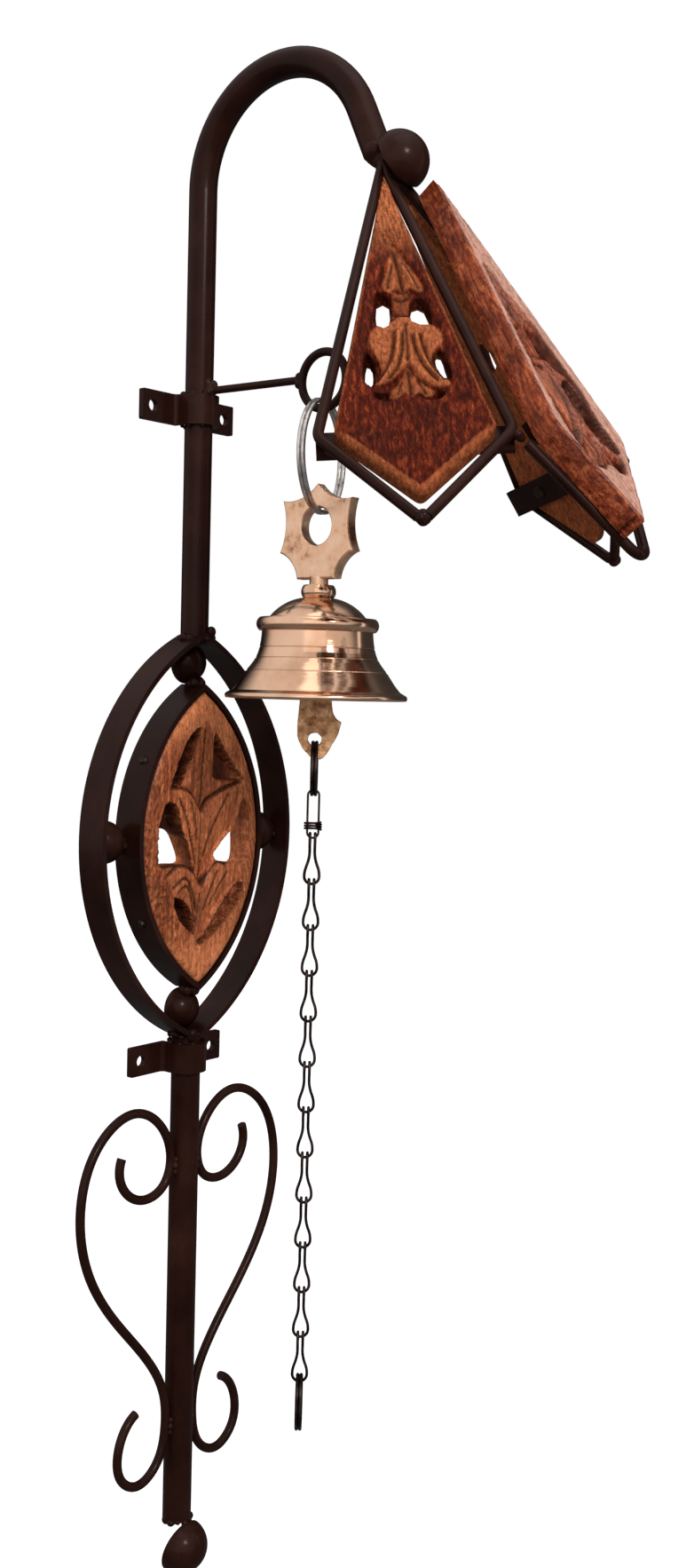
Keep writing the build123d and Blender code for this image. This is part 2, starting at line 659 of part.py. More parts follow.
def hairpin_link(bar_z):
    """One wire: hook, leg, pear loop, leg, hook. bar_z is the height of the wire it hangs on."""
    foot_z = bar_z - link_pitch

    def at(across, out, height):
        return Vector(0, hang_y, 0) + wide_dir * across + plate_dir * out + Vector(0, 0, height)

    def half(side):
        return [
            at(side * leg_half, hook_r, bar_z - hook_tip),
            at(side * leg_half, hook_r, bar_z),
            at(side * leg_half, 0, bar_z + hook_r),
            at(side * leg_half, -hook_r, bar_z),
            at(side * leg_half, -hook_r * 0.7, bar_z - 3.4),
            at(side * (leg_half + 0.1), -0.35, bar_z - 7.4),
            at(side * (leg_half + 0.9), 0, bar_z - 10.8),
            at(side * pear_half, 0, foot_z + pear_half),
        ]

    right_side = half(1)
    left_side = half(-1)
    left_side.reverse()
    with BuildPart() as link:
        with BuildLine() as wire:
            Spline(*right_side[3:], tangents=((0, 0, -1), (0, 0, -1)))
            ThreePointArc(right_side[-1], at(0, 0, foot_z), left_side[0])
            Spline(*left_side[:5], tangents=((0, 0, 1), (0, 0, 1)))
            for row in (right_side, left_side[::-1]):
                Line(row[0], row[1])
                ThreePointArc(row[1], row[2], row[3])
        path = Wire(wire.edges())
        start = right_side[0]
        with BuildSketch(Plane(origin=start, z_dir=(0, 0, 1))):
            Circle(link_wire_r)
        sweep(path=path)
    return link.part


for index in range(link_count):
    link = hairpin_link(tie_foot_z - index * link_pitch)
    link.label = f"chain_link_{index + 1:02d}"
    export_step(link, f"parts/chain_link_{index + 1:02d}.step")

chain_foot_z = tie_foot_z - link_count * link_pitch
pull_top_z = chain_foot_z + link_wire_r + 0.5 + small_wire_r
pull_ring = split_ring(small_ring_r, small_wire_r, pull_top_z - small_ring_r, lower_yaw)
pull_ring.label = "pull_ring"
export_step(pull_ring, "parts/pull_ring.step")
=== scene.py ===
"""Wall mounted bell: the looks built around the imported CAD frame."""
import json
import math

import bmesh
import bpy
import numpy as np
from mathutils import Matrix, Vector
from mathutils.geometry import delaunay_2d_cdt


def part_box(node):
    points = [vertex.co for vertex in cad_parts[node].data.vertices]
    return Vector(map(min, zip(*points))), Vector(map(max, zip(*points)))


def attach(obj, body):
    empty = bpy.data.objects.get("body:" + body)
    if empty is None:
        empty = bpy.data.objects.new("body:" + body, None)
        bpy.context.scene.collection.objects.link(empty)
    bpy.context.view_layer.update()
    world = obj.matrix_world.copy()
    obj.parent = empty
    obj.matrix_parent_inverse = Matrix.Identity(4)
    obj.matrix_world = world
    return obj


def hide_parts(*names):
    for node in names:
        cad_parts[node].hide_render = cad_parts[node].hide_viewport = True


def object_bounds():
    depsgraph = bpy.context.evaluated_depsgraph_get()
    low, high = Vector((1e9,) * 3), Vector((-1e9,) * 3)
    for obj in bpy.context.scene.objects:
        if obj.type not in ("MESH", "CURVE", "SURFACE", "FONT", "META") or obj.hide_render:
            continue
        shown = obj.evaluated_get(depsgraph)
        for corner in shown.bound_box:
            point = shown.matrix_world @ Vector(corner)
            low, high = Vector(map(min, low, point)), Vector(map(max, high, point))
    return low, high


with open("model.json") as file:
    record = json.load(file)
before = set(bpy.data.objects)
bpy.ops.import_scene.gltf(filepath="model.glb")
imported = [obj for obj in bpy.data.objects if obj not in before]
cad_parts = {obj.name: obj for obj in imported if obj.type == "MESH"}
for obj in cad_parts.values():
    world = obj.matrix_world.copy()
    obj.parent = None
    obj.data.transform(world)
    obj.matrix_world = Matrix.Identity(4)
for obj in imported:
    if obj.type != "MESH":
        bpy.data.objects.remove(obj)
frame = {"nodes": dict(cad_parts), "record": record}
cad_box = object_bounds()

MM = 0.001
scene = bpy.context.scene


# ------------------------------------------------------------------ material helpers
def new_material(name):
    mat = bpy.data.materials.new(name)
    mat.use_nodes = True
    nodes = mat.node_tree.nodes
    return mat, nodes, mat.node_tree.links, nodes["Principled BSDF"]


def add_node(nodes, kind, **settings):
    node = nodes.new(kind)
    for key, value in settings.items():
        if key in node.inputs:
            node.inputs[key].default_value = value
        else:
            setattr(node, key, value)
    return node


def ramp(nodes, stops):
    node = nodes.new("ShaderNodeValToRGB")
    elements = node.color_ramp.elements
    while len(elements) < len(stops):
        elements.new(0.5)
    for element, (place, colour) in zip(elements, stops):
        element.position = place
        element.color = (*colour, 1.0)
    return node


def grey_ramp(nodes, low, high, at=(0.0, 1.0)):
    return ramp(nodes, [(at[0], (low,) * 3), (at[1], (high,) * 3)])


def place_texture(nodes, links, scale, attribute=None):
    """Coordinates in metres from the object, or in millimetres from a named attribute."""
    mapping = nodes.new("ShaderNodeMapping")
    mapping.inputs["Scale"].default_value = scale
    if attribute:
        coords = nodes.new("ShaderNodeAttribute")
        coords.attribute_name = attribute
        links.new(coords.outputs["Vector"], mapping.inputs["Vector"])
    else:
        coords = nodes.new("ShaderNodeTexCoord")
        links.new(coords.outputs["Object"], mapping.inputs["Vector"])
    return mapping.outputs["Vector"]


def mix_colour(nodes, links, blend, factor, a, b):
    node = nodes.new("ShaderNodeMix")
    node.data_type = "RGBA"
    node.blend_type = blend
    for value, socket in ((factor, node.inputs[0]), (a, node.inputs[6]), (b, node.inputs[7])):
        if hasattr(value, "links"):
            links.new(value, socket)
        elif isinstance(value, tuple):
            socket.default_value = (*value, 1.0)
        else:
            socket.default_value = value
    return node.outputs[2]


def bump(nodes, links, height, strength, distance, normal=None):
    node = add_node(nodes, "ShaderNodeBump", Strength=strength, Distance=distance)
    links.new(height, node.inputs["Height"])
    if normal is not None:
        links.new(normal, node.inputs["Normal"])
    return node.outputs["Normal"]


def iron_material():
    """Dark brown-black satin paint over hammered wrought iron."""
    mat, nodes, links, shader = new_material("painted_iron")
    place = place_texture(nodes, links, (1.0, 1.0, 1.0))
    patches = add_node(nodes, "ShaderNodeTexNoise", Scale=38.0, Detail=5.0, Roughness=0.6)
    links.new(place, patches.inputs["Vector"])
    tint = ramp(nodes, [(0.30, (0.0100, 0.0026, 0.0015)), (0.55, (0.0190, 0.0056, 0.0036)),
                        (0.78, (0.0340, 0.0115, 0.0078))])
    links.new(patches.outputs["Fac"], tint.inputs["Fac"])
    links.new(tint.outputs["Color"], shader.inputs["Base Color"])
    fine = add_node(nodes, "ShaderNodeTexNoise", Scale=620.0, Detail=4.0, Roughness=0.65)
    links.new(place, fine.inputs["Vector"])
    gloss = grey_ramp(nodes, 0.30, 0.52, (0.35, 0.70))
    links.new(patches.outputs["Fac"], gloss.inputs["Fac"])
    links.new(gloss.outputs["Color"], shader.inputs["Roughness"])
    dents = add_node(nodes, "ShaderNodeTexNoise", Scale=130.0, Detail=2.0)
    links.new(place, dents.inputs["Vector"])
    normal = bump(nodes, links, dents.outputs["Fac"], 0.30, 0.0006)
    normal = bump(nodes, links, fine.outputs["Fac"], 0.25, 0.0002, normal)
    links.new(normal, shader.inputs["Normal"])
    shader.inputs["Metallic"].default_value = 0.0
    shader.inputs["Specular IOR Level"].default_value = 0.05
    shader.inputs["Specular Tint"].default_value = (1.0, 0.60, 0.50, 1.0)
    shader.inputs["Coat Weight"].default_value = 0.11
    shader.inputs["Coat Roughness"].default_value = 0.20
    return mat


def wood_material(name, dark, mid, light, leaf, sheen, shine, mottle, streak):
    """Oiled mango wood: streaks along the panel, dark pores, painted shade darkening the cuts, and paler
    leaves.
    """
    mat, nodes, links, shader = new_material(name)
    streak_place = place_texture(nodes, links, streak, attribute="panel")
    pore_place = place_texture(nodes, links, (1.6, 0.35, 1.0), attribute="panel")
    patch_place = place_texture(nodes, links, (0.085, 0.05, 0.05), attribute="panel")
    speck_place = place_texture(nodes, links, (0.75, 0.42, 0.6), attribute="panel")
    streaks = add_node(nodes, "ShaderNodeTexNoise", Scale=1.0, Detail=6.0, Roughness=0.62, Distortion=0.6)
    links.new(streak_place, streaks.inputs["Vector"])
    patches = add_node(nodes, "ShaderNodeTexNoise", Scale=1.0, Detail=4.0, Roughness=0.6, Distortion=0.8)
    links.new(patch_place, patches.inputs["Vector"])
    specks = add_node(nodes, "ShaderNodeTexNoise", Scale=1.0, Detail=5.0, Roughness=0.75, Distortion=0.4)
    links.new(speck_place, specks.inputs["Vector"])
    pores = add_node(nodes, "ShaderNodeTexNoise", Scale=1.0, Detail=3.0, Roughness=0.7)
    links.new(pore_place, pores.inputs["Vector"])
    grain = ramp(nodes, [(0.30, dark), (0.52, mid), (0.72, light)])
    links.new(streaks.outputs["Fac"], grain.inputs["Fac"])
    patch_tone = ramp(nodes, [(0.35, (0.42, 0.34, 0.32)), (0.62, (1.05, 1.0, 1.0))])
    links.new(patches.outputs["Fac"], patch_tone.inputs["Fac"])
    colour = mix_colour(nodes, links, "MULTIPLY", 0.75, grain.outputs["Color"],
                        patch_tone.outputs["Color"])
    speck_tone = ramp(nodes, [(0.38, (0.42, 0.30, 0.26)), (0.58, (1.10, 1.08, 1.05))])
    links.new(specks.outputs["Fac"], speck_tone.inputs["Fac"])
    # the pale tone also carries painted sheen on the slab's face and painted light on side walls and upper
    # edges
    tone = nodes.new("ShaderNodeAttribute")
    tone.attribute_name = "tone"
    colour = mix_colour(nodes, links, "MIX", tone.outputs["Fac"], colour, leaf)
    grain_on_leaf = ramp(nodes, [(0.34, (0.50, 0.42, 0.36)), (0.60, (1.08, 1.05, 1.0))])
    links.new(streaks.outputs["Fac"], grain_on_leaf.inputs["Fac"])
    colour = mix_colour(nodes, links, "MULTIPLY", 0.6, colour, grain_on_leaf.outputs["Color"])
    colour = mix_colour(nodes, links, "MULTIPLY", mottle, colour, speck_tone.outputs["Color"])
    pore_tone = ramp(nodes, [(0.36, (0.30, 0.22, 0.20)), (0.47, (1.0, 1.0, 1.0))])
    links.new(pores.outputs["Fac"], pore_tone.inputs["Fac"])
    colour = mix_colour(nodes, links, "MULTIPLY", 0.72, colour, pore_tone.outputs["Color"])
    # painted shade: near-black mixed in where the carving marks cuts and recesses
    cavity_shade = nodes.new("ShaderNodeAttribute")
    cavity_shade.attribute_name = "cavity_shade"
    colour = mix_colour(nodes, links, "MIX", cavity_shade.outputs["Fac"], colour, (0.012, 0.0035, 0.002))
    links.new(colour, shader.inputs["Base Color"])
    gloss = grey_ramp(nodes, 0.36, 0.62, (0.3, 0.7))
    links.new(streaks.outputs["Fac"], gloss.inputs["Fac"])
    links.new(gloss.outputs["Color"], shader.inputs["Roughness"])
    normal = bump(nodes, links, pores.outputs["Fac"], 0.55, 0.0005)
    normal = bump(nodes, links, streaks.outputs["Fac"], 0.35, 0.0006, normal)
    links.new(normal, shader.inputs["Normal"])
    shader.inputs["Specular IOR Level"].default_value = shine
    shader.inputs["Specular Tint"].default_value = (1.0, 0.72, 0.60, 1.0)
    shader.inputs["Coat Weight"].default_value = sheen
    shader.inputs["Coat Roughness"].default_value = 0.20
    return mat


def brass_material():
    """Polished turned brass with fine lathe lines."""
    mat, nodes, links, shader = new_material("polished_brass")
    line_place = place_texture(nodes, links, (6.0, 6.0, 1500.0))
    lines = add_node(nodes, "ShaderNodeTexNoise", Scale=1.0, Detail=2.0)
    links.new(line_place, lines.inputs["Vector"])
    cloud_place = place_texture(nodes, links, (60.0, 60.0, 60.0))
    cloud = add_node(nodes, "ShaderNodeTexNoise", Scale=1.0, Detail=4.0)
    links.new(cloud_place, cloud.inputs["Vector"])
    tint = ramp(nodes, [(0.35, (0.62, 0.355, 0.225)), (0.65, (0.80, 0.51, 0.345))])
    links.new(cloud.outputs["Fac"], tint.inputs["Fac"])
    links.new(tint.outputs["Color"], shader.inputs["Base Color"])
    gloss = grey_ramp(nodes, 0.10, 0.24, (0.3, 0.7))
    links.new(cloud.outputs["Fac"], gloss.inputs["Fac"])
    links.new(gloss.outputs["Color"], shader.inputs["Roughness"])
    normal = bump(nodes, links, lines.outputs["Fac"], 0.22, 0.0002)
    normal = bump(nodes, links, cloud.outputs["Fac"], 0.10, 0.0008, normal)
    links.new(normal, shader.inputs["Normal"])
    shader.inputs["Metallic"].default_value = 1.0
    return mat


def crown_material():
    """The crown: the same brass, sand cast and only brushed flat."""
    mat, nodes, links, shader = new_material("brushed_brass")
    place = place_texture(nodes, links, (150.0, 150.0, 150.0))
    grain = add_node(nodes, "ShaderNodeTexNoise", Scale=1.0, Detail=6.0, Roughness=0.6)
    links.new(place, grain.inputs["Vector"])
    tint = ramp(nodes, [(0.27, (0.26, 0.11, 0.060)), (0.43, (0.74, 0.43, 0.27)),
                        (0.72, (0.96, 0.66, 0.47))])
    links.new(grain.outputs["Fac"], tint.inputs["Fac"])
    links.new(tint.outputs["Color"], shader.inputs["Base Color"])
    gloss = grey_ramp(nodes, 0.24, 0.44, (0.35, 0.65))
    links.new(grain.outputs["Fac"], gloss.inputs["Fac"])
    links.new(gloss.outputs["Color"], shader.inputs["Roughness"])
    scratch_place = place_texture(nodes, links, (900.0, 900.0, 120.0))
    scratch = add_node(nodes, "ShaderNodeTexNoise", Scale=1.0, Detail=3.0)
    links.new(scratch_place, scratch.inputs["Vector"])
    normal = bump(nodes, links, grain.outputs["Fac"], 0.35, 0.0006)
    normal = bump(nodes, links, scratch.outputs["Fac"], 0.25, 0.0002, normal)
    links.new(normal, shader.inputs["Normal"])
    shader.inputs["Metallic"].default_value = 1.0
    return mat


def cast_material():
    """Rough sand-cast bronze, brown with rubbed pale patches."""
    mat, nodes, links, shader = new_material("cast_bronze")
    place = place_texture(nodes, links, (230.0, 230.0, 230.0))
    grain = add_node(nodes, "ShaderNodeTexNoise", Scale=1.0, Detail=7.0, Roughness=0.7)
    links.new(place, grain.inputs["Vector"])
    tint = ramp(nodes, [(0.32, (0.110, 0.042, 0.018)), (0.47, (0.56, 0.27, 0.125)),
                        (0.66, (1.0, 0.66, 0.38))])
    links.new(grain.outputs["Fac"], tint.inputs["Fac"])
    links.new(tint.outputs["Color"], shader.inputs["Base Color"])
    gloss = grey_ramp(nodes, 0.40, 0.65, (0.35, 0.65))
    links.new(grain.outputs["Fac"], gloss.inputs["Fac"])
    links.new(gloss.outputs["Color"], shader.inputs["Roughness"])
    links.new(bump(nodes, links, grain.outputs["Fac"], 0.8, 0.0010), shader.inputs["Normal"])
    shader.inputs["Metallic"].default_value = 0.85
    return mat


def wire_material(name, dark, light, low, high):
    """Drawn steel wire with scuffs; low and high are its roughness."""
    mat, nodes, links, shader = new_material(name)
    place = place_texture(nodes, links, (260.0, 260.0, 260.0))
    scuff = add_node(nodes, "ShaderNodeTexNoise", Scale=1.0, Detail=5.0)
    links.new(place, scuff.inputs["Vector"])
    tint = ramp(nodes, [(0.35, dark), (0.66, light)])
    links.new(scuff.outputs["Fac"], tint.inputs["Fac"])
    links.new(tint.outputs["Color"], shader.inputs["Base Color"])
    gloss = grey_ramp(nodes, low, high, (0.3, 0.7))
    links.new(scuff.outputs["Fac"], gloss.inputs["Fac"])
    links.new(gloss.outputs["Color"], shader.inputs["Roughness"])
    links.new(bump(nodes, links, scuff.outputs["Fac"], 0.08, 0.0002), shader.inputs["Normal"])
    shader.inputs["Metallic"].default_value = 1.0
    return mat


IRON = iron_material()
WOOD_PANEL = wood_material("wood_medallion", dark=(0.130, 0.020, 0.006), mid=(0.410, 0.102, 0.038),
                           light=(0.720, 0.290, 0.125), leaf=(0.760, 0.270, 0.115),
                           sheen=0.10, shine=0.10, mottle=0.60, streak=(0.55, 0.060, 0.3))
WOOD_SIDE = wood_material("wood_kite", dark=(0.040, 0.0034, 0.0010), mid=(0.110, 0.0130, 0.0036),
                          light=(0.300, 0.062, 0.0190), leaf=(0.560, 0.180, 0.070),
                          sheen=0.02, shine=0.040, mottle=0.75, streak=(0.62, 0.17, 0.4))
# on the slab the pale leaf colour is a painted sheen: carve_slab lays it over the flat face
WOOD_SLAB = wood_material("wood_slab", dark=(0.110, 0.014, 0.005), mid=(0.290, 0.058, 0.020),
                          light=(0.470, 0.155, 0.062), leaf=(0.740, 0.450, 0.360),
                          sheen=0.14, shine=0.08, mottle=0.45, streak=(0.60, 0.075, 0.6))
BRASS = brass_material()
CROWN = crown_material()
CAST = cast_material()
RING = wire_material("ring_steel", dark=(0.42, 0.38, 0.36), light=(0.74, 0.69, 0.66), low=0.24, high=0.40)
DARK_WIRE = wire_material("dark_wire", dark=(0.012, 0.007, 0.006), light=(0.060, 0.040, 0.034), low=0.34,
                          high=0.55)
SCREW = wire_material("screw_steel", dark=(0.018, 0.011, 0.009), light=(0.070, 0.045, 0.036), low=0.42,
                      high=0.60)

MATERIAL_OF_SLOT = {"painted_iron": IRON, "carved_wood": WOOD_PANEL, "polished_brass": BRASS,
                    "cast_bronze": CAST, "ring_steel": RING, "dark_wire": DARK_WIRE, "screw_steel": SCREW}
FINISH_OF_NODE = {"bell_crown": CROWN, "clapper_ring": DARK_WIRE, "pull_ring": DARK_WIRE}
for entry in frame["record"]["subparts"]:
    node = frame["nodes"][entry["node"]]
    finish = FINISH_OF_NODE.get(entry["node"], MATERIAL_OF_SLOT[entry["material_slot"]])
    if not node.material_slots:
        node.data.materials.append(finish)
    for slot in node.material_slots:
        slot.material = finish


# ------------------------------------------------------------------ plane geometry of carving
LATTICE_SIZE = 64
LATTICE = np.random.default_rng(11).random((LATTICE_SIZE, LATTICE_SIZE))


def value_noise(x, y):
    """Smooth noise between 0 and 1 on a fixed lattice."""
    xi = np.floor(x).astype(int)
    yi = np.floor(y).astype(int)
    fx = x - xi
    fy = y - yi
    fx = fx * fx * (3 - 2 * fx)
    fy = fy * fy * (3 - 2 * fy)
    x0, x1 = xi % LATTICE_SIZE, (xi + 1) % LATTICE_SIZE
    y0, y1 = yi % LATTICE_SIZE, (yi + 1) % LATTICE_SIZE
    a = LATTICE[x0, y0]
    b = LATTICE[x1, y0]
    c = LATTICE[x0, y1]
    d = LATTICE[x1, y1]
    return (a * (1 - fx) + b * fx) * (1 - fy) + (c * (1 - fx) + d * fx) * fy


def smooth(value, low, high):
    t = np.clip((value - low) / (high - low), 0, 1)
    return t * t * (3 - 2 * t)


def rounded(points, closed=True, per=5):
    """Catmull-Rom curve through a few outline points."""
    pts = [np.array(p, float) for p in points]
    count = len(pts)
    out = []
    for i in range(count if closed else count - 1):
        p0 = pts[(i - 1) % count] if closed or i > 0 else pts[0]
        p1 = pts[i]
        p2 = pts[(i + 1) % count]
        p3 = pts[(i + 2) % count] if closed or i + 2 < count else pts[-1]
        for k in range(per):
            t = k / per
            out.append(0.5 * (2 * p1 + (p2 - p0) * t + (2 * p0 - 5 * p1 + 4 * p2 - p3) * t * t
                              + (3 * p1 - p0 - 3 * p2 + p3) * t ** 3))
    if not closed:
        out.append(pts[-1])
    return np.array(out)


def line_distance(points, line, closed):
    best = np.full(len(points), 1e9)
    count = len(line)
    for i in range(count if closed else count - 1):
        a = line[i]
        ab = line[(i + 1) % count] - a
        t = np.clip(((points - a) @ ab) / max(ab @ ab, 1e-12), 0, 1)
        best = np.minimum(best, np.linalg.norm(points - a - t[:, None] * ab, axis=1))
    return best


def inside(points, poly):
    result = np.zeros(len(points), bool)
    x, y = points[:, 0], points[:, 1]
    count = len(poly)
    for i in range(count):
        x1, y1 = poly[i]
        x2, y2 = poly[(i + 1) % count]
        if y1 == y2:
            continue
        crosses = (y1 > y) != (y2 > y)
        result ^= crosses & (x < (x2 - x1) * (y - y1) / (y2 - y1) + x1)
    return result


def resample(poly, step):
    """Closed outline with points no further apart than step."""
    out = []
    count = len(poly)
    for i in range(count):
        a, b = np.array(poly[i]), np.array(poly[(i + 1) % count])
        parts = max(1, int(math.ceil(np.linalg.norm(b - a) / step)))
        out.extend(a + (b - a) * k / parts for k in range(parts))
    return np.array(out)


class Carving:
    """Height field over a panel's face in millimetres: 0 is the face, negative is cut away."""

    def __init__(self, points):
        self.p = points
        self.h = np.zeros(len(points))
        self.tone = np.zeros(len(points))
        # painted shade map: how far each point is darkened toward black in cuts and recesses
        self.cavity_shade = np.zeros(len(points))

    def depth_inside(self, poly):
        dist = line_distance(self.p, poly, True)
        return np.where(inside(self.p, poly), dist, -dist)

    def pocket(self, poly, depth, wall=0.8, tilt=(0.0, 0.0), ribs=None):
        """Cut down inside an outline; the floor may slope and carry gouge ribs."""
        d = self.depth_inside(poly)
        floor = depth + (self.p - poly.mean(0)) @ np.array(tilt)
        if ribs:
            pitch, angle, height = ribs
            along = self.p @ np.array([math.cos(angle), math.sin(angle)])
            floor = floor + height * (1 - np.abs(np.sin(math.pi * along / pitch)))
        cut = -np.maximum(floor, 0.3) * smooth(d, 0.0, wall)
        lower = cut < self.h
        self.h = np.where(lower & (d > 0), cut, self.h)
        # painted shade: the deeper the pocket floor the darker, with a dark line round the rim of deep
        # pockets
        self.cavity_shade = np.maximum(self.cavity_shade, smooth(d, -0.2, 0.9) * np.clip(floor / 6.5, 0.15, 0.92))
        outline = np.exp(-((d - 0.4 * wall) / (0.45 * wall)) ** 2)
        self.cavity_shade = np.maximum(self.cavity_shade, 0.88 * outline * (depth > 3.0))
        self.tone = np.where(d > 0, self.tone * 0.3, self.tone)
        return d

    def leaf(self, poly, level, bulge, pale=0.8, wall=0.7):
        """A leaf left standing at a level, crowned in the middle."""
        d = self.depth_inside(poly)
        top = level + bulge * (1 - np.exp(-np.maximum(d, 0) / 2.2))
        blend = smooth(d, -wall, 0.25)
        self.h = self.h * (1 - blend) + top * blend
        self.cavity_shade = self.cavity_shade * (1 - blend)
        self.tone = np.maximum(self.tone * (1 - blend), pale * smooth(d, -0.1, 0.8))

    def groove(self, line, width, depth, shade=0.90):
        d = line_distance(self.p, line, False)
        cut = np.exp(-(d / width) ** 2)
        self.h -= depth * cut
        self.cavity_shade = np.maximum(self.cavity_shade, shade * np.exp(-(d / width) ** 2))

    def ridge(self, line, width, height, pale=0.5):
        d = line_distance(self.p, line, False)
        up = np.exp(-(d / width) ** 2)
        self.h += height * up
        self.tone = np.maximum(self.tone, pale * up)

    def gouges(self, mask, direction, pitch, depth):
        """Side-by-side chisel strokes along a direction, uneven in place and length."""
        c, s = math.cos(direction), math.sin(direction)
        along = self.p @ np.array([c, s])
        across = self.p @ np.array([-s, c])
        sway = 1.6 * value_noise(along / 9.0 + 3.1, across / 4.0 + 7.7)
        phase = across / pitch + sway
        depth_here = depth * (0.35 + 0.65 * value_noise(along / 11.0, np.floor(phase) * 3.7))
        self.h -= mask * depth_here * (0.5 + 0.5 * np.cos(2 * math.pi * phase))
        # painted shade in the troughs of the strokes
        self.cavity_shade = np.maximum(self.cavity_shade, 0.45 * mask * (np.cos(2 * math.pi * phase) > 0.55))

    def bevel(self, edge_distance, width, drop, mask=1.0):
        t = np.clip(1 - edge_distance / width, 0, 1)
        self.h -= drop * mask * (1 - np.sqrt(np.maximum(1 - t * t, 0)))


def fill_faces(points, loops, wanted):
    """Triangles of a point set between closed loops of its own indices."""
    coords = [Vector((p[0], p[1])) for p in points]
    edges = [(loop[i], loop[(i + 1) % len(loop)]) for loop in loops for i in range(len(loop))]
    verts, _, faces, *_ = delaunay_2d_cdt(coords, edges, [], 0, 1e-6)
    verts = np.array([(v.x, v.y) for v in verts])
    faces = np.array([f for f in faces if len(f) == 3])
    keep = wanted(verts[faces].mean(1))
    return verts, faces[keep]


ROW_PITCH = 0.87  # rows of a grid of triangles, against its step
RIM_CLEARANCE = 0.6  # grid points stay this share of a step off the outlines
FLOOR_LEFT = 0.8  # millimetres of wood under the deepest pocket
# a little painted shade on the back and the side walls
BACK_CAVITY_SHADE = 0.05
HARD_EDGE = math.radians(48)


def carved_panel(name, outline, holes, thickness, step, plane, carve, finish, body, stands_for, wall_light_tone):
    """A wood panel: carved front, pierced holes, flat back. plane maps local millimetres to metres."""
    outline = resample(outline, step)
    holes = [resample(hole, step) for hole in holes]

    def wanted(centres):
        good = inside(centres, outline)
        for hole in holes:
            good &= ~inside(centres, hole)
        return good

    low, high = outline.min(0), outline.max(0)
    xs = np.arange(low[0], high[0], step)
    ys = np.arange(low[1], high[1], step * ROW_PITCH)
    grid = np.array([(x + (step / 2 if row % 2 else 0), y) for row, y in enumerate(ys) for x in xs])
    grid = grid[wanted(grid)]
    clear = line_distance(grid, outline, True) > step * RIM_CLEARANCE
    for hole in holes:
        clear &= line_distance(grid, hole, True) > step * RIM_CLEARANCE
    grid = grid[clear]
    rims = [outline] + holes
    starts = np.cumsum([0] + [len(r) for r in rims])
    loops = [list(range(starts[i], starts[i + 1])) for i in range(len(rims))]
    rim_points = np.vstack(rims)
    front, front_faces = fill_faces(np.vstack([rim_points, grid]), loops, wanted)
    back, back_faces = fill_faces(rim_points, loops, wanted)
    work = Carving(front)
    carve(work, line_distance(front, outline, True))
    work.h = np.maximum(work.h, -(thickness - FLOOR_LEFT))

    count = len(front)
    local = np.zeros((count + len(back), 3))
    local[:count, :2] = front
    local[:count, 2] = work.h
    local[count:, :2] = back
    local[count:, 2] = -thickness
    # painted light: the side walls round the outline and the holes are laid paler
    tones = np.concatenate([work.tone, np.full(len(back), wall_light_tone)])
    cavity_shades = np.concatenate([work.cavity_shade, np.full(len(back), BACK_CAVITY_SHADE)])

    faces = [tuple(f) for f in front_faces] + [tuple(count + i for i in f[::-1]) for f in back_faces]
    directed = set()
    for a, b, c in front_faces:
        directed.update(((a, b), (b, c), (c, a)))
    for a, b in [e for e in directed if (e[1], e[0]) not in directed]:
        faces.append((b, a, a + count, b + count))
    mesh = bpy.data.meshes.new(name)
    matrix = np.array(plane)
    world = local @ matrix[:3, :3].T * MM + matrix[:3, 3]
    mesh.from_pydata([tuple(v) for v in world], [], [tuple(int(i) for i in f) for f in faces])
    mesh.validate()
    for key, kind, field, data in (("panel", "FLOAT_VECTOR", "vector", local),
                                   ("tone", "FLOAT", "value", tones),
                                   ("cavity_shade", "FLOAT", "value", cavity_shades)):
        layer = mesh.attributes.new(key, kind, "POINT")
        layer.data.foreach_set(field, data.astype(np.float32).ravel())
    cleaner = bmesh.new()
    cleaner.from_mesh(mesh)
    bmesh.ops.recalc_face_normals(cleaner, faces=cleaner.faces)
    cleaner.to_mesh(mesh)
    cleaner.free()
    mesh.materials.append(finish)
    mesh.shade_smooth()
    piece = bpy.data.objects.new(name, mesh)
    scene.collection.objects.link(piece)
    piece.modifiers.new("edges", "EDGE_SPLIT").split_angle = HARD_EDGE
    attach(piece, body)
    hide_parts(stands_for)
    return piece


def plane_matrix(origin, x_axis, y_axis):
    """Local frame in row coordinates: origin in metres, axes as unit vectors."""
    x_axis = Vector(x_axis).normalized()
    z_axis = x_axis.cross(Vector(y_axis)).normalized()
    y_axis = z_axis.cross(x_axis)
    matrix = Matrix.Identity(4)
    for row in range(3):
        matrix[row][0], matrix[row][1], matrix[row][2], matrix[row][3] = (
            x_axis[row], y_axis[row], z_axis[row], origin[row])
    return matrix


# ------------------------------------------------------------------ medallion panel
MEDALLION_STEP = 0.62
panel_low, panel_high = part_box("medallion_panel")
panel_half_w = (panel_high.x - panel_low.x) / 2 / MM
panel_half_h = (panel_high.z - panel_low.z) / 2 / MM
panel_depth = (panel_high.y - panel_low.y) / MM
arc_r = (panel_half_w ** 2 + panel_half_h ** 2) / (2 * panel_half_w)


def lens_outline(half_w, half_h, radius, count=60):
    """Pointed oval of two arcs."""
    reach = math.asin(half_h / radius)
    offset = radius - half_w
    angles = np.linspace(-reach, reach, count)
    right = [(radius * math.cos(a) - offset, radius * math.sin(a)) for a in angles]
    left = [(-x, -y) for x, y in right[1:-1]]
    return np.array(right + left)


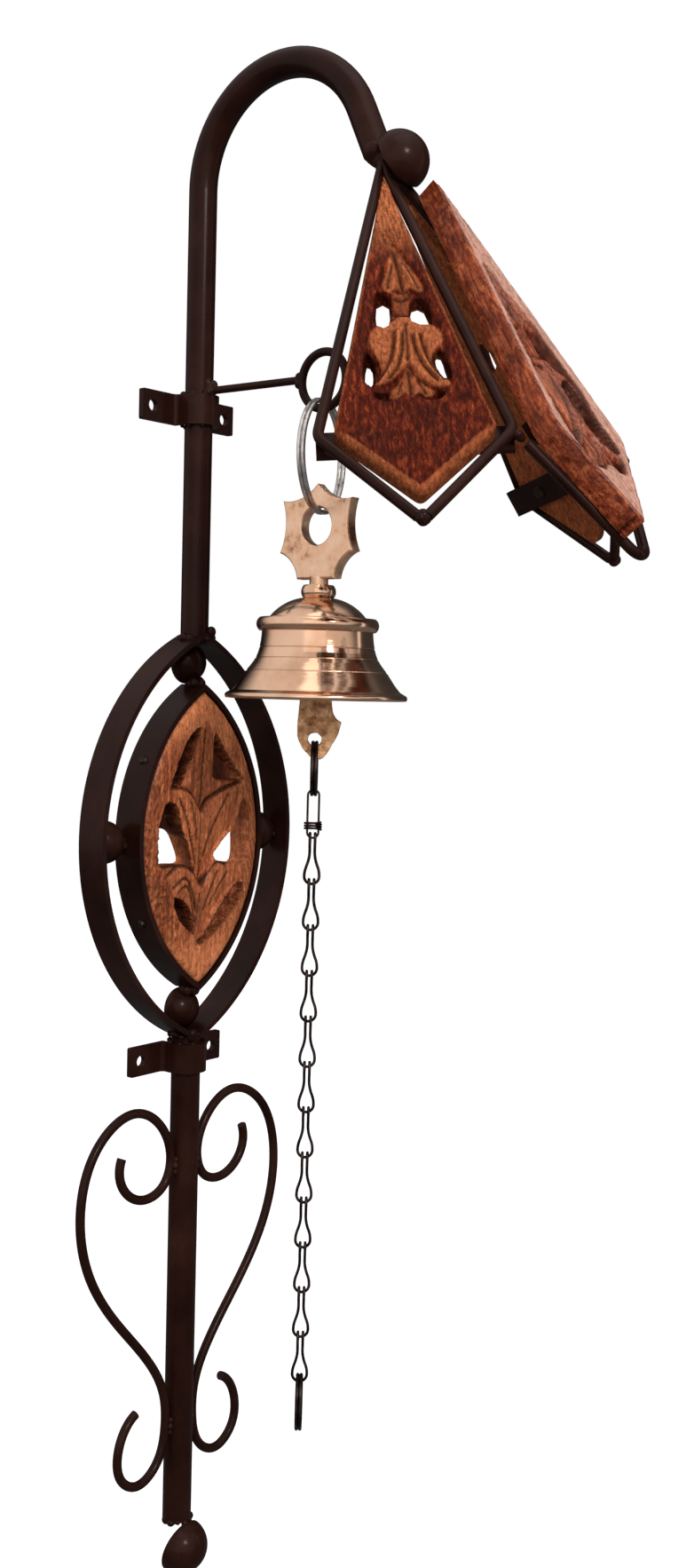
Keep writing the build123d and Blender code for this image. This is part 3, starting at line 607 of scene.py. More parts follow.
def carve_medallion(work, edge):
    x, y = work.p[:, 0], work.p[:, 1]
    work.bevel(edge, 5.5, 3.2)
    rim = (edge < 10.0).astype(float)
    # three tiers of leaves, each dipping under the next one below
    spear = rounded([(-0.5, 51), (4.6, 44), (6.0, 34), (6.2, 26), (14, 24.2), (24, 24.4),
                     (12, 20.6), (3.4, 16.6), (-0.8, 11.4), (-3.6, 16.4), (-10.2, 21.6),
                     (-20.4, 22.8), (-13.2, 23.4), (-10.8, 29), (-6.8, 37), (-3.0, 45)], per=4)
    middle_leaf = rounded([(-21.5, 21.4), (-10.4, 20.2), (-4.0, 14.8), (-0.8, 9.8), (3.2, 15.2),
                           (12, 19.2), (24, 22.6), (21, 14.5), (20.5, 5), (13.6, 1.2), (5.6, -8),
                           (2.4, -14), (0.4, -20), (-4, -14), (-5.4, -10), (-8.6, -2), (-13.2, 7),
                           (-15.6, 13.6)], per=4)
    lower_leaf = rounded([(-22.6, -15.6), (-14.7, -11.5), (-6.2, -14.2), (0, -21), (4.4, -15.2),
                          (9.4, -11.6), (19.6, -12.6), (25, -19.8), (20, -21), (13.6, -25.6),
                          (6.0, -33.6), (0.4, -42), (-3, -46.8), (-4.4, -40), (-5.6, -33),
                          (-11.2, -26), (-17.2, -25)], per=4)
    for leaf, top, drop in ((spear, 46.0, 0.075), (middle_leaf, 20.0, 0.085), (lower_leaf, -12.0, 0.080)):
        work.leaf(leaf, -0.5 - drop * (top - y), 0.7, 0.34, 0.9)
    # pockets: steep beside the stem, easing up to the rim on the right
    left_up = rounded([(-3.8, 47.8), (-9.6, 44.4), (-14.6, 37.3), (-18.4, 29.6), (-20.8, 23.2),
                       (-13.2, 23.6), (-11.0, 28.4), (-7.2, 36.4), (-3.2, 44)], per=4)
    right_up = rounded([(5.4, 45), (8.2, 43), (13.8, 36), (19.6, 29.6), (24.4, 24.8), (14, 24.6),
                        (6.4, 26), (5.8, 34)], per=4)
    left_middle = rounded([(-23.9, 15.4), (-27.4, 8), (-27.8, -1), (-26.9, -10.8), (-15, -11.2),
                           (-5.4, -10.6), (-8.6, -2), (-13.2, 7), (-16.4, 13.8), (-20, 16)], per=4)
    low_left = rounded([(-17.4, -24.8), (-11, -26.2), (-5.0, -32.8), (-4.2, -41.5), (-12.9, -36),
                        (-17.4, -29.6)], per=4)
    low_right = rounded([(25.4, -20.8), (24.8, -26.8), (16.8, -35.4), (7.6, -42), (-2.9, -46.6),
                         (0.6, -42.4), (7.2, -33.8), (14.6, -26), (20.2, -21.6)], per=4)
    work.pocket(left_up, 7.0, 0.8)
    work.pocket(left_middle, 8.6, 1.0)
    work.pocket(right_up, 6.6, 0.8, tilt=(-0.42, 0.0))
    work.pocket(low_left, 8.0, 0.8)
    work.pocket(low_right, 5.2, 1.2, tilt=(-0.24, 0.22), ribs=(1.5, 0.9, 0.6))
    # painted light: the right-hand walls of these pockets face the light, so their painted shade is eased
    for pocket, lit_from in ((right_up, 10.5 + (24 - y) * 0.15), (low_right, -99.0)):
        lit_wall = (work.depth_inside(pocket) > 0.5) & (x > lit_from)
        work.cavity_shade = np.where(lit_wall, work.cavity_shade * 0.55, work.cavity_shade)
    # tier lips, veins and layered blades
    veins = (
        ([(-20.4, 22.4), (-10.2, 21.0), (-3.8, 15.8), (-0.8, 10.8)], 0.8, 1.7),
        ([(23.4, 23.6), (11.6, 20.0), (3.2, 16.2), (-0.4, 11.4)], 0.8, 1.5),
        ([(-0.9, 9.5), (-0.6, -4), (0.2, -18)], 0.6, 1.2),
        ([(-0.6, 46), (-0.8, 30), (-0.9, 14)], 0.6, 0.8),
        ([(-22.4, -15.2), (-14.7, -10.9), (-6.2, -13.4), (0, -20.4)], 0.9, 1.9),
        ([(15, -12.2), (9, -11.0), (4.2, -14.6), (0.6, -20.2)], 0.8, 1.4),
        ([(-15.6, 17.8), (-10.5, 9.5), (-6.6, 0), (-2.6, -11)], 0.6, 0.8),
        ([(-8.6, 17), (-5.6, 9), (-3.2, 0)], 0.5, 0.4),
        ([(15, 18.6), (9.6, 10.4), (4.6, 1), (1.6, -8)], 0.6, 0.5),
        ([(-17.6, -20.4), (-11, -16.6), (-6.2, -22), (-2.6, -31)], 0.7, 1.1),
        ([(-14.6, -22.6), (-9.6, -20.2), (-5.6, -27), (-3.2, -36)], 0.6, 0.9),
        ([(-1.2, -24), (-1.6, -33), (-2.6, -42)], 0.6, 1.1),
        ([(9, -15), (5.6, -22), (1.6, -31)], 0.6, 0.6),
        ([(15.4, -15.6), (10.6, -21), (5.4, -29)], 0.5, 0.5),
    )
    for line, width, depth in veins:
        work.groove(rounded(line, False), width, depth)
    # tool marks: long strokes on the rim, stipple on the blades and pocket walls
    for turn, side in ((1.15, x < 0), (1.95, x >= 0)):
        work.gouges(rim * side * smooth(np.abs(y), 50, 20), turn, 2.3, 0.28)
    speckle = value_noise(x / 0.9 + 9, y / 0.9) - 0.5
    work.h += 0.55 * speckle * ((x < 1) & (work.tone > 0.3)) + 0.8 * speckle * (work.h < -4.0)
    work.h += 0.25 * (value_noise(x / 3.1, y / 3.1 + 4) - 0.5)
    lower_left_rim = smooth(-x - y * 0.35, 18, 34)
    work.h += 1.3 * lower_left_rim * rim * (value_noise(x / 1.7 + 40, y / 1.5) - 0.5)
    # the rim a little darker towards the left, laid into the same dark map
    work.cavity_shade = np.maximum(work.cavity_shade, 0.20 * smooth(-x - y * 0.1, 16, 30) * rim)
    tips = np.maximum(smooth(y, 34, 50), 0.8 * smooth(-y, 40, 52))
    pale = np.clip(0.20 + 0.25 * (x > 6) + 0.75 * tips, 0, 1)
    work.tone = np.maximum(work.tone, (work.h > -3.4) * pale * (work.tone < 0.2))
    # painted shadow: the deep floor beside the stem in the upper right pocket is darkened almost to black
    shadowed_floor = smooth(work.depth_inside(right_up), 0.3, 1.2) * smooth(-x, -12.5, -7.5)
    work.cavity_shade = np.maximum(work.cavity_shade, 0.96 * shadowed_floor)


slot_left = rounded([(-26.6, 3), (-27.6, -2), (-26.8, -10.4), (-15, -10.8), (-5.8, -10.4),
                     (-8.8, -2), (-13, 3.4), (-20, 4.6)], per=4)
slot_right = rounded([(22.4, 14), (25.4, 16.4), (28, 13), (28.9, 4), (28.7, -11.4), (20, -11.8),
                      (6.6, -9.4), (10, -3.4), (14.6, 1), (20.4, 5)], per=4)
panel_origin = ((panel_low.x + panel_high.x) / 2, panel_low.y, (panel_low.z + panel_high.z) / 2)
panel_plane = plane_matrix(panel_origin, (1, 0, 0), (0, 0, 1))
carved_panel("medallion_carving", lens_outline(panel_half_w, panel_half_h, arc_r), [slot_left, slot_right],
             panel_depth, MEDALLION_STEP, panel_plane, carve_medallion, WOOD_PANEL, "frame",
             "medallion_panel", 0.7)

# ------------------------------------------------------------------ canopy panels
apex = Vector((0.0, -0.1047, 0.2254))
wall_left = Vector((-0.0760, -0.1347, 0.1090))
front_left = Vector((-0.0330, -0.1875, 0.1136))
front_right = Vector((0.0375, -0.1900, 0.1140))
wall_right = Vector((0.0695, -0.1285, 0.1035))
apex_spread = Vector((0.0028, 0, 0))
SIDE_KITES = (("left", wall_left, front_left, apex - apex_spread),
              ("right", front_right, wall_right, apex + apex_spread))
KITE_HALF = 28.5
KITE_BOTTOM = 29.0
KITE_TOP_GAP = 7.8
KITE_THICKNESS = 6.0
KITE_STEP = 0.62
KITE_LIFT = 0.002
SLAB_HALF = 22.0
SLAB_TOP = 129.0
SLAB_BOTTOM = 43.0
SLAB_THICKNESS = 10.0
SLAB_STEP = 0.66
SLAB_LIFT = 0.0021
SLAB_TURN = math.radians(-3.5)
SLAB_SCALE = (0.86, 1.30)  # the side kites' leaf spray, stretched onto the slab
SLAB_SHIFT = (-1.0, -37.0)
SLAB_DEEP = 1.8


def kite_plane(corner_a, corner_b, top, lift):
    """Frame on a kite's widest line, lifted outward, and the top's place in it in millimetres."""
    middle = (corner_a + corner_b) / 2
    across = (corner_b - corner_a).normalized()
    outward = across.cross(top - middle).normalized()
    upward = outward.cross(across)
    matrix = plane_matrix(middle + outward * lift, across, upward)
    arm = top - middle
    return matrix, (arm.dot(across) / MM, arm.dot(upward) / MM)


def kite_outline(half_w, top, bottom, blunt=3.0):
    """Kite with blunted side corners and bottom, as the CAD panels have."""
    corners = [np.array(p, float) for p in (top, (half_w, 0), (0, -bottom), (-half_w, 0))]
    out = [corners[0]]
    for i in (1, 2, 3):
        a, b, c = corners[i - 1], corners[i], corners[(i + 1) % 4]
        u, w = (a - b) / np.linalg.norm(a - b), (c - b) / np.linalg.norm(c - b)
        start, end = b + u * blunt, b + w * blunt
        for t in (0, 0.25, 0.5, 0.75, 1.0):
            out.append((1 - t) ** 2 * start + 2 * t * (1 - t) * b + t * t * end)
    return np.array(out)


def motif(points, scale, shift):
    return [((x * scale[0]) + shift[0], (y * scale[1]) + shift[1]) for x, y in points]


def leaf_motif(work, scale=(1.0, 1.0), shift=(0.0, 0.0), deep=1.0):
    """Spear leaf, stem, broad tulip leaf and small double leaf on a sunk ground, whose depth it returns."""
    def shape(points, closed=True, per=4):
        return rounded(motif(points, scale, shift), closed, per)

    x, y = work.p[:, 0], work.p[:, 1]
    ground = shape([(-2.5, 92), (-6.5, 81), (-9, 72), (-11.5, 63), (-13.5, 54), (-16, 43),
                    (-17.5, 32), (-16.5, 22), (-12.5, 15), (-6, 13.2), (0, 16), (7, 13), (12.5, 16),
                    (15.5, 24), (14.4, 33), (15, 44), (12.4, 55), (9.8, 64), (8.6, 71), (3.4, 81)])
    sunk = work.pocket(ground, 2.4 * deep, 5.0 / deep)
    work.cavity_shade *= 0.45 * deep
    pockets = (
        [(-10.2, 66), (-4.6, 65.5), (-5.6, 50), (-10.8, 49.5)],
        [(2.4, 64), (7.8, 63), (9.6, 49.5), (1.4, 51.5)],
        [(-15, 38), (-12, 33), (-12.8, 22), (-16.4, 23), (-16.8, 30)],
        [(9.0, 39), (12.4, 37), (14.6, 24), (11.4, 25), (8.6, 32)],
        [(-13, 19), (-7, 19.5), (-4.4, 15), (-9, 13.6), (-13, 15.4)],
        [(1.6, 17.6), (6, 20), (12, 18), (10, 14.2), (4.6, 13.8)],
    )
    for pocket in pockets:
        work.pocket(shape(pocket), 4.4 * deep, 1.0)
    spear = shape([(-2.5, 91), (-4.6, 82), (-7.6, 70.5), (-5.2, 66.6), (-2.6, 68.6), (-0.2, 67),
                   (2.6, 68.6), (6.4, 66.4), (7.6, 69.6), (3.4, 80)])
    stem = shape([(-4.4, 68), (-1.0, 67), (2.2, 67), (1.6, 59), (2.2, 53), (-4.8, 53), (-4.2, 60)])
    tulip = shape([(-9.6, 51.2), (-5.4, 52.4), (-2, 54.6), (2, 54.2), (5.6, 51.6), (9.6, 50.2),
                   (12.8, 46), (12.4, 40.6), (9.4, 37), (8.2, 32), (10.4, 27), (14.2, 21.4),
                   (10, 19.8), (5, 22.6), (1.4, 26.8), (-1, 30.4), (-4, 26.6), (-8, 23),
                   (-12.8, 21.8), (-10.4, 27.4), (-11, 33), (-12.6, 37.6), (-14, 43.4),
                   (-12.4, 48.6)])
    twin = shape([(-0.8, 31), (-3.6, 25.4), (-8.2, 17.4), (-5.2, 15.8), (-2.6, 18.4), (-0.4, 16.2),
                  (2.6, 18.6), (5.6, 16.4), (8.6, 18.8), (4.6, 22.8), (1.4, 27)])
    work.leaf(stem, -2.0, 0.8, 0.25, 1.4)
    work.leaf(tulip, -0.9, 1.0, 0.60, 1.2)
    work.leaf(twin, -2.2, 1.2, 0.45, 1.2)
    work.leaf(spear, -1.0, 1.0, 0.50, 1.2)
    veins = (
        ([(-2.4, 88), (-1.2, 78), (-0.2, 68)], 0.8, 1.3),
        ([(0.6, 82), (3.4, 75), (5.6, 68.6)], 0.5, 0.6),
        ([(-3.4, 80), (-4.6, 74), (-5.6, 69)], 0.5, 0.4),
        ([(-4.6, 47), (-5.4, 39), (-7.4, 31.5), (-11.6, 24)], 0.7, 1.1),
        ([(-1.6, 46), (-2.2, 38), (-4.4, 30), (-7.6, 25)], 0.6, 0.9),
        ([(1.8, 45), (2.6, 38), (5.0, 30), (9.4, 23)], 0.6, 0.9),
        ([(4.8, 45), (5.6, 38), (8.0, 30.5), (11.6, 23.6)], 0.7, 1.0),
        ([(-0.2, 51), (-0.2, 42), (-0.6, 33)], 0.6, 0.8),
        ([(-0.6, 29), (-0.4, 18)], 0.7, 1.0),
        ([(-3.2, 24), (-4.8, 18)], 0.4, 0.5),
        ([(2.4, 24.6), (5.0, 18)], 0.5, 0.6),
        ([(-4, 56.6), (-1, 55.4), (2, 56.4)], 0.7, 1.0),
        ([(-3.4, 64.6), (-1, 63), (1.4, 64.8)], 0.6, 0.8),
    )
    for line, width, depth in veins:
        work.groove(shape(line, False), width, depth)
    raised_edges = (
        [(-3.2, 46.5), (-3.8, 38), (-5.8, 31), (-9.8, 24.4)],
        [(3.3, 45), (4.1, 38), (6.5, 30.5), (10.6, 23.4)],
        [(-3.6, 84), (-5.0, 74)],
        [(0.8, 80), (4.0, 70)],
    )
    for line in raised_edges:
        work.ridge(shape(line, False), 0.8, 0.8, 0.95)
    work.h += 0.45 * (value_noise(x / 1.2 + 21, y / 1.2) - 0.5) * ((work.tone > 0.3) | (work.cavity_shade > 0.2))
    work.h += 0.22 * (value_noise(x / 2.6, y / 2.6 + 14) - 0.5)
    return sunk


def carve_side(work, edge):
    x, y = work.p[:, 0], work.p[:, 1]
    lower = smooth(-y, -1.5, 2.5)
    work.bevel(edge, 3.4, 2.6, lower)
    work.bevel(edge, 1.1, 0.7, 1 - lower)
    leaf_motif(work)
    work.gouges(smooth(y, 84, 94), math.radians(-80), 1.55, 0.65)
    work.gouges(smooth(y, 70, 88) * (1 - smooth(y, 84, 94)), math.radians(-75), 2.4, 0.25)
    work.groove(np.array([(-22.0, 20.0), (-15.5, 11.0), (-9.5, 2.0)]), 0.35, 0.25, 0.15)
    work.tone = np.maximum(work.tone, 0.85 * smooth(y, 78, 112))
    work.tone = np.maximum(work.tone, 0.40 * lower * smooth(3.2 - edge, 0, 0.6))
    blotches = value_noise(x / 7.0, y / 5.0 + 3)
    # darker blotches towards the bottom of the face, laid into the same dark map
    work.cavity_shade = np.maximum(work.cavity_shade, 0.35 * smooth(-y, -24, 6) * (edge > 3.2) * blotches)
    # painted highlight: a thin pale band along the upper edges
    work.tone = np.maximum(work.tone, 0.35 * (1 - lower) * smooth(1.2 - edge, 0, 0.5))


def carve_slab(work, edge):
    y = work.p[:, 1]
    work.bevel(edge, 1.4, 0.9)
    sunk = leaf_motif(work, SLAB_SCALE, SLAB_SHIFT, SLAB_DEEP)
    ribbed = rounded([(-1, 20), (4, 25), (8.5, 24), (11, 8), (14, -6), (9, -9), (3, -4), (0, 6)])
    work.pocket(ribbed, 3.4, 1.2, tilt=(-0.12, 0.0), ribs=(2.7, 1.45, 1.2))
    work.gouges(smooth(y, 96, 110), math.radians(-70), 1.8, 0.35)
    carved = np.maximum(smooth(sunk, -0.4, 0.6), smooth(work.depth_inside(ribbed), -0.4, 0.6))
    # painted sheen: the flat face is laid pale pink, the carving kept brown
    work.tone = (1 - carved) * 0.70 * smooth(edge, 0.7, 1.5) + carved * 0.20 * work.tone


side_hole_sets = [
    [(-9.8, 64.2), (-5.2, 63.8), (-6.2, 50.2), (-10.2, 50.3)],
    [(2.9, 61.8), (7.4, 61.0), (8.9, 50.0), (2.0, 52.0)],
    [(-14.9, 35.0), (-13.0, 32.5), (-13.3, 25.6), (-15.4, 23.8), (-16.0, 28.0)],
    [(9.4, 36.6), (11.8, 37.6), (12.9, 31.6), (13.9, 25.0), (11.4, 26.4)],
]
for side_name, corner_a, corner_b, top in SIDE_KITES:
    kite, (top_x, top_y) = kite_plane(corner_a, corner_b, top, KITE_LIFT)
    carved_panel(f"canopy_{side_name}_carving",
                 kite_outline(KITE_HALF, (top_x, top_y - KITE_TOP_GAP), KITE_BOTTOM),
                 [rounded(h, per=2) for h in side_hole_sets], KITE_THICKNESS, KITE_STEP, kite,
                 carve_side, WOOD_SIDE, "frame", f"canopy_{side_name}_panel", 0.6)

front, _ = kite_plane(front_left, front_right, apex, SLAB_LIFT)
front_side = (front @ Matrix.Translation((-0.007, -0.006, SLAB_THICKNESS * MM))
              @ Matrix.Rotation(SLAB_TURN, 4, "Z"))
slab_holes = [rounded(motif(h, SLAB_SCALE, SLAB_SHIFT), per=2) for h in side_hole_sets]
carved_panel("canopy_front_carving", kite_outline(SLAB_HALF, (0, SLAB_TOP), SLAB_BOTTOM), slab_holes,
             SLAB_THICKNESS, SLAB_STEP, front_side, carve_slab, WOOD_SLAB, "frame",
             "canopy_front_panel", 0.0)


# ------------------------------------------------------------------ weld beads
WELD_VOXEL = 0.00042
UPPER_TUBE_R = 6.0
LOWER_TUBE_R = 6.35
BRACKET_HEIGHT = 139.0
BRACKET_HALF = 6.6
SCROLL_CONTACTS = (("upper", -186.0), ("lower", -302.0))
KITE_FOOT = -0.0385
POLE_AXIS = (0, 0, 1)


def weld(name, blobs, seed, body="frame"):
    """A lumpy bead: overlapping (centre, radius) blobs in mm, fused into one skin in the CAD box."""
    rng = np.random.default_rng(seed)
    lump = bmesh.new()
    for centre, radius in blobs:
        ball = bmesh.ops.create_icosphere(lump, subdivisions=3, radius=radius * MM)
        stretch = Matrix.Diagonal((*(0.85 + 0.3 * rng.random(3)), 1.0))
        place = Matrix.Translation(Vector(centre) * MM)
        bmesh.ops.transform(lump, matrix=place @ stretch, verts=ball["verts"])
    mesh = bpy.data.meshes.new(name)
    lump.to_mesh(mesh)
    lump.free()
    piece = bpy.data.objects.new(name, mesh)
    scene.collection.objects.link(piece)
    fuse = piece.modifiers.new("fuse", "REMESH")
    fuse.mode = "VOXEL"
    fuse.voxel_size = WELD_VOXEL
    relax = piece.modifiers.new("relax", "SMOOTH")
    relax.factor = 0.5
    relax.iterations = 3
    fused = bpy.data.meshes.new_from_object(piece.evaluated_get(bpy.context.evaluated_depsgraph_get()))
    piece.modifiers.clear()
    piece.data = fused
    fused.name = name
    for vertex in fused.vertices:
        vertex.co.x = min(max(vertex.co.x, cad_box[0].x), cad_box[1].x)
        vertex.co.y = min(vertex.co.y, cad_box[1].y)
    fused.materials.clear()
    fused.materials.append(IRON)
    fused.shade_smooth()
    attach(piece, body)
    return piece


def ring_of_blobs(centre, radius, axis, count, blob, seed, sweep=(0.0, 360.0)):
    """Blobs round a circle about an axis, uneven in size and place."""
    rng = np.random.default_rng(seed)
    axis = Vector(axis).normalized()
    side = axis.orthogonal().normalized()
    other = axis.cross(side)
    out = []
    span = sweep[1] - sweep[0]
    gaps = count if span >= 360 else count - 1
    for k in range(count):
        angle = math.radians(sweep[0] + span * k / gaps)
        reach = radius * (0.95 + 0.12 * rng.random())
        spot = Vector(centre) + (side * math.cos(angle) + other * math.sin(angle)) * reach
        spot += axis * (rng.random() - 0.5) * blob * 0.7
        out.append((tuple(spot), blob * (0.75 + 0.5 * rng.random())))
    return out


def centre_mm(node):
    a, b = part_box(node)
    return (a + b) / 2 / MM


def blobs_at(centre, *offsets):
    """Blobs about a centre, each (dx, dy, dz, radius) in millimetres."""
    return [((centre[0] + dx, centre[1] + dy, centre[2] + dz), radius) for dx, dy, dz, radius in offsets]


pole_y = centre_mm("lower_tube").y
oval_low, oval_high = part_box("outer_oval_left")
oval_top = oval_high.z / MM
oval_foot = oval_low.z / MM
inner_low, inner_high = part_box("inner_oval_left")
weld("weld_oval_top",
     ring_of_blobs((0, pole_y, oval_top - 2.5), UPPER_TUBE_R + 0.5, POLE_AXIS, 11, 1.7, 3)
     + blobs_at((0, pole_y, oval_top), (3.5, -6.5, 0.5, 2.2), (-4.5, -5.5, -4.5, 2.0),
                (6.8, -3.5, -2.0, 2.1)), 4)
weld("weld_oval_foot",
     ring_of_blobs((0, pole_y, oval_foot + 2.0), LOWER_TUBE_R + 0.4, POLE_AXIS, 11, 1.6, 5)
     + blobs_at((0, pole_y, oval_foot), (-3.0, -6.6, 3.5, 2.1), (4.6, -5.6, 1.0, 1.9)), 6)
for tag, tip, sign, seed in (("top", inner_high.z / MM, 1, 11), ("foot", inner_low.z / MM, -1, 13)):
    weld(f"weld_dome_{tag}_inner",
         blobs_at((0, pole_y, tip), (-1.6, -1, sign * 0.4, 2.6), (1.8, -2, sign * 0.6, 2.5),
                  (0.2, -4.5, sign * 0.2, 2.2), (0, 2, sign * 0.5, 2.4)), seed)
for tag, side in (("left", -1), ("right", 1)):
    weld(f"weld_dome_{tag}",
         blobs_at(centre_mm(f"medallion_ball_{tag}"), (side * 7.6, 1.0, 1.5, 1.8),
                  (side * 7.9, 0, -1.6, 1.7), (-side * 7.8, 1.0, 0.8, 1.7),
                  (-side * 7.9, 0, -1.8, 1.6)), 17 + side)
for tag, height, tube in (("upper", BRACKET_HEIGHT, UPPER_TUBE_R),
                          ("lower", -BRACKET_HEIGHT, LOWER_TUBE_R)):
    weld(f"weld_{tag}_bracket",
         ring_of_blobs((0, pole_y, height + BRACKET_HALF), tube + 0.9, POLE_AXIS, 7, 1.3, 21, (-60, 200))
         + ring_of_blobs((0, pole_y, height - BRACKET_HALF), tube + 0.9, POLE_AXIS, 6, 1.2, 22,
                         (-40, 190)), 23)
stay_low, stay_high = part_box("stay_rod")
stay_z = (stay_low.z + stay_high.z) / 2 / MM
weld("weld_stay_root",
     blobs_at((0, stay_high.y / MM, stay_z), (0.4, -0.2, 1.0, 2.9), (-1.8, -0.6, -0.8, 2.4),
              (1.8, -0.4, 2.4, 2.2), (0.2, -2.2, 0.4, 2.1), (-0.6, 0.6, 3.6, 2.0)), 31)
weld("weld_stay_eye",
     blobs_at((0, stay_low.y / MM, stay_z), (0.2, 0.3, -0.3, 2.1), (-0.4, -0.6, -1.6, 1.9),
              (0.3, -0.4, 1.2, 1.9)), 32)
finial_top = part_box("finial_ball")[1].z / MM
weld("weld_finial",
     ring_of_blobs((0, pole_y - 0.5, finial_top + 0.2), LOWER_TUBE_R - 1.2, POLE_AXIS, 10, 1.7, 41), 42)
# the arch's cut end is plugged down to the apex, where the canopy rods meet
top_mm = apex / MM
tube_end = Vector((0.0, -100.3, 231.5))
plug = [(tuple(tube_end.lerp(top_mm, t)), 5.9 - 3.0 * t) for t in (0.0, 0.3, 0.6, 0.9)]
weld("weld_apex",
     plug + blobs_at((0, top_mm.y, top_mm.z), (-1.5, -0.5, 2.0, 3.0), (1.8, -1.0, 1.4, 2.9),
                     (0.2, -3.4, -0.6, 2.8), (-3.4, -0.8, -1.5, 2.2), (3.3, -1.2, -1.8, 2.2),
                     (0.3, -6.0, -3.4, 2.4), (1.4, -4.6, -5.0, 1.9), (-1.0, 1.6, 3.0, 2.7),
                     (0.4, 2.6, 4.6, 2.6)), 51)
for tag, corner_a, corner_b, top in SIDE_KITES:
    kite, _ = kite_plane(corner_a, corner_b, top, 0.0)
    foot = kite @ Vector((0, KITE_FOOT, 0)) / MM
    weld(f"weld_kite_foot_{tag}",
         [(tuple(foot + Vector(offset)), radius) for offset, radius in
          (((-0.9, 0.6, 0.8), 1.9), ((1.0, -0.4, 0.9), 1.9), ((0.1, 0.2, -0.4), 1.7))], 61)
for tag, corner in (("left", front_left), ("right", front_right)):
    weld(f"weld_corner_{tag}",
         [(tuple(corner / MM + Vector(offset)), radius) for offset, radius in
          (((0.3, -1.2, -1.8), 2.1), ((1.5, -2.2, -2.9), 1.8))], 63)
for tag, side in (("left", -1), ("right", 1)):
    for level, height in SCROLL_CONTACTS:
        weld(f"weld_scroll_{tag}_{level}",
             blobs_at((0, pole_y, height), (side * 7.0, -1.6, 2.6, 1.5), (side * 7.2, -1.9, 0, 1.7),
                      (side * 7.0, -1.5, -2.8, 1.4)), 71)

# ------------------------------------------------------------------ clapper: rough casting
CASTING_VOXEL = 0.0005
CASTING_PITS = 0.0009
clapper = frame["nodes"]["clapper"]
casting_mesh = clapper.data.copy()
casting_mesh.transform(clapper.matrix_world)
casting_mesh.materials.clear()
casting_mesh.materials.append(CAST)
casting = bpy.data.objects.new("clapper_casting", casting_mesh)
scene.collection.objects.link(casting)
skin = casting.modifiers.new("skin", "REMESH")
skin.mode = "VOXEL"
skin.voxel_size = CASTING_VOXEL
skin.use_smooth_shade = True
clouds = bpy.data.textures.new("casting", "CLOUDS")
clouds.noise_scale = 0.004
pits = casting.modifiers.new("pits", "DISPLACE")
pits.texture = clouds
pits.strength = CASTING_PITS
pits.mid_level = 0.60
pits.texture_coords = "LOCAL"
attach(casting, "clapper")
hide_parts("clapper")

# ------------------------------------------------------------------ camera
AZIMUTH = math.radians(-52.19)
TILT = math.radians(3.3)
ROLL = math.radians(1.463)
CAMERA_PLACE = (-0.5281, -0.5008, 0.0228)
LENS = 38.26
look = Vector((-math.sin(AZIMUTH) * math.cos(TILT), math.cos(AZIMUTH) * math.cos(TILT), -math.sin(TILT)))
flat_right = look.cross(Vector((0, 0, 1))).normalized()
flat_up = flat_right.cross(look)
right = flat_right * math.cos(ROLL) + flat_up * math.sin(ROLL)
up = right.cross(look)
camera = bpy.data.objects.new("camera", bpy.data.cameras.new("camera"))
scene.collection.objects.link(camera)
camera_rows = [(right[i], up[i], -look[i], CAMERA_PLACE[i]) for i in range(3)]
camera.matrix_world = Matrix(camera_rows + [(0, 0, 0, 1)])
camera.data.lens = LENS
camera.data.sensor_width = 36.0
camera.data.clip_start = 0.01
scene.camera = camera

# ------------------------------------------------------------------ stage and light
FLOOR_DROP = 0.12
FLOOR_HALF = 2.4
TOWARD_LIGHT = (-0.78, -0.22, 0.58)
floor_z = cad_box[0].z - FLOOR_DROP
floor_mesh = bpy.data.meshes.new("studio_floor")
floor_maker = bmesh.new()
bmesh.ops.create_grid(floor_maker, x_segments=12, y_segments=12, size=FLOOR_HALF)
bmesh.ops.translate(floor_maker, vec=(0, 0, floor_z), verts=floor_maker.verts)
floor_maker.to_mesh(floor_mesh)
floor_maker.free()
studio_floor = bpy.data.objects.new("studio_floor", floor_mesh)
scene.collection.objects.link(studio_floor)
paper, nodes, links, shader = new_material("paper")
shader.inputs["Base Color"].default_value = (0.16, 0.16, 0.16, 1)
shader.inputs["Roughness"].default_value = 0.9
seen = nodes.new("ShaderNodeLightPath")
shader.inputs["Emission Color"].default_value = (1, 1, 1, 1)
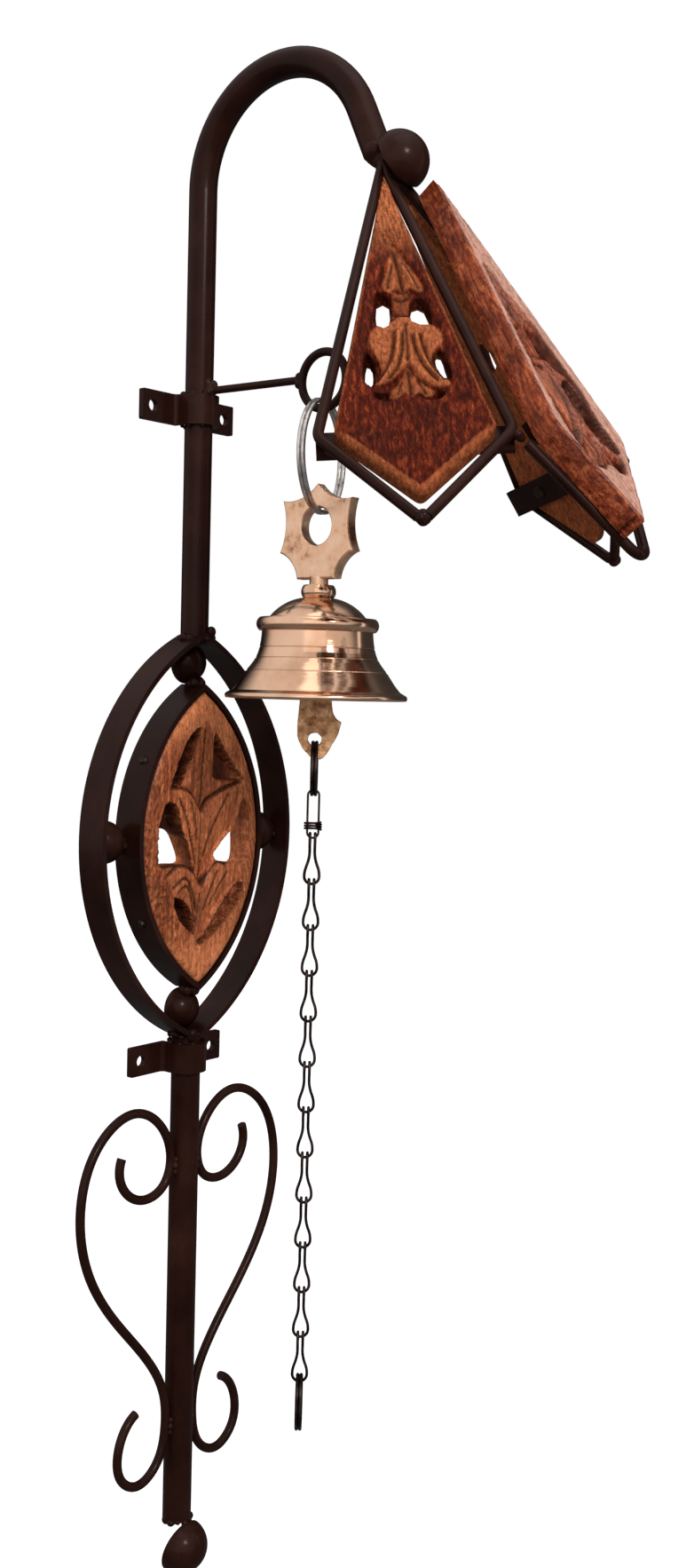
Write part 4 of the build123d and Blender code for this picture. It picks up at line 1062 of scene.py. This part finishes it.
links.new(seen.outputs["Is Camera Ray"], shader.inputs["Emission Strength"])
floor_mesh.materials.append(paper)

world = bpy.data.worlds.new("studio")
scene.world = world
world.use_nodes = True
sky = world.node_tree
sky_seen = sky.nodes.new("ShaderNodeLightPath")
sky_place = sky.nodes.new("ShaderNodeTexCoord")
toward_light = add_node(sky.nodes, "ShaderNodeVectorMath", operation="DOT_PRODUCT")
toward_light.inputs[1].default_value = TOWARD_LIGHT
sky_level = sky.nodes.new("ShaderNodeMapRange")
sky_level.interpolation_type = "SMOOTHSTEP"
for socket, value in (("From Min", -0.25), ("From Max", 0.30), ("To Min", 0.05), ("To Max", 0.92)):
    sky_level.inputs[socket].default_value = value
sky_white = add_node(sky.nodes, "ShaderNodeMath", operation="MAXIMUM")
sky.links.new(sky_place.outputs["Generated"], toward_light.inputs[0])
sky.links.new(toward_light.outputs["Value"], sky_level.inputs["Value"])
sky.links.new(sky_level.outputs["Result"], sky_white.inputs[0])
sky.links.new(sky_seen.outputs["Is Camera Ray"], sky_white.inputs[1])
sky.nodes["Background"].inputs["Color"].default_value = (1, 1, 1, 1)
sky.links.new(sky_white.outputs["Value"], sky.nodes["Background"].inputs["Strength"])


def softbox(name, spot, size, radiance):
    """Rectangular light facing the object, its brightness given as radiance."""
    data = bpy.data.lights.new(name, "AREA")
    data.shape = "RECTANGLE"
    data.size, data.size_y = size
    data.energy = radiance * math.pi * size[0] * size[1]
    lamp = bpy.data.objects.new(name, data)
    scene.collection.objects.link(lamp)
    lamp.location = spot
    lamp.rotation_euler = (Vector((0, -0.08, 0)) - Vector(spot)).to_track_quat("-Z", "Y").to_euler()


softbox("front_card", (-1.45, -1.05, 0.45), (1.4, 1.6), 0.45)
softbox("top_card", (-0.25, -0.55, 1.45), (1.0, 1.0), 1.3)
softbox("key", (-0.75, -1.70, 0.95), (0.34, 0.34), 54.0)
softbox("right_strip", (0.95, -1.10, 0.20), (0.14, 1.2), 1.6)

scene.view_settings.view_transform = "Standard"
scene.view_settings.look = "None"
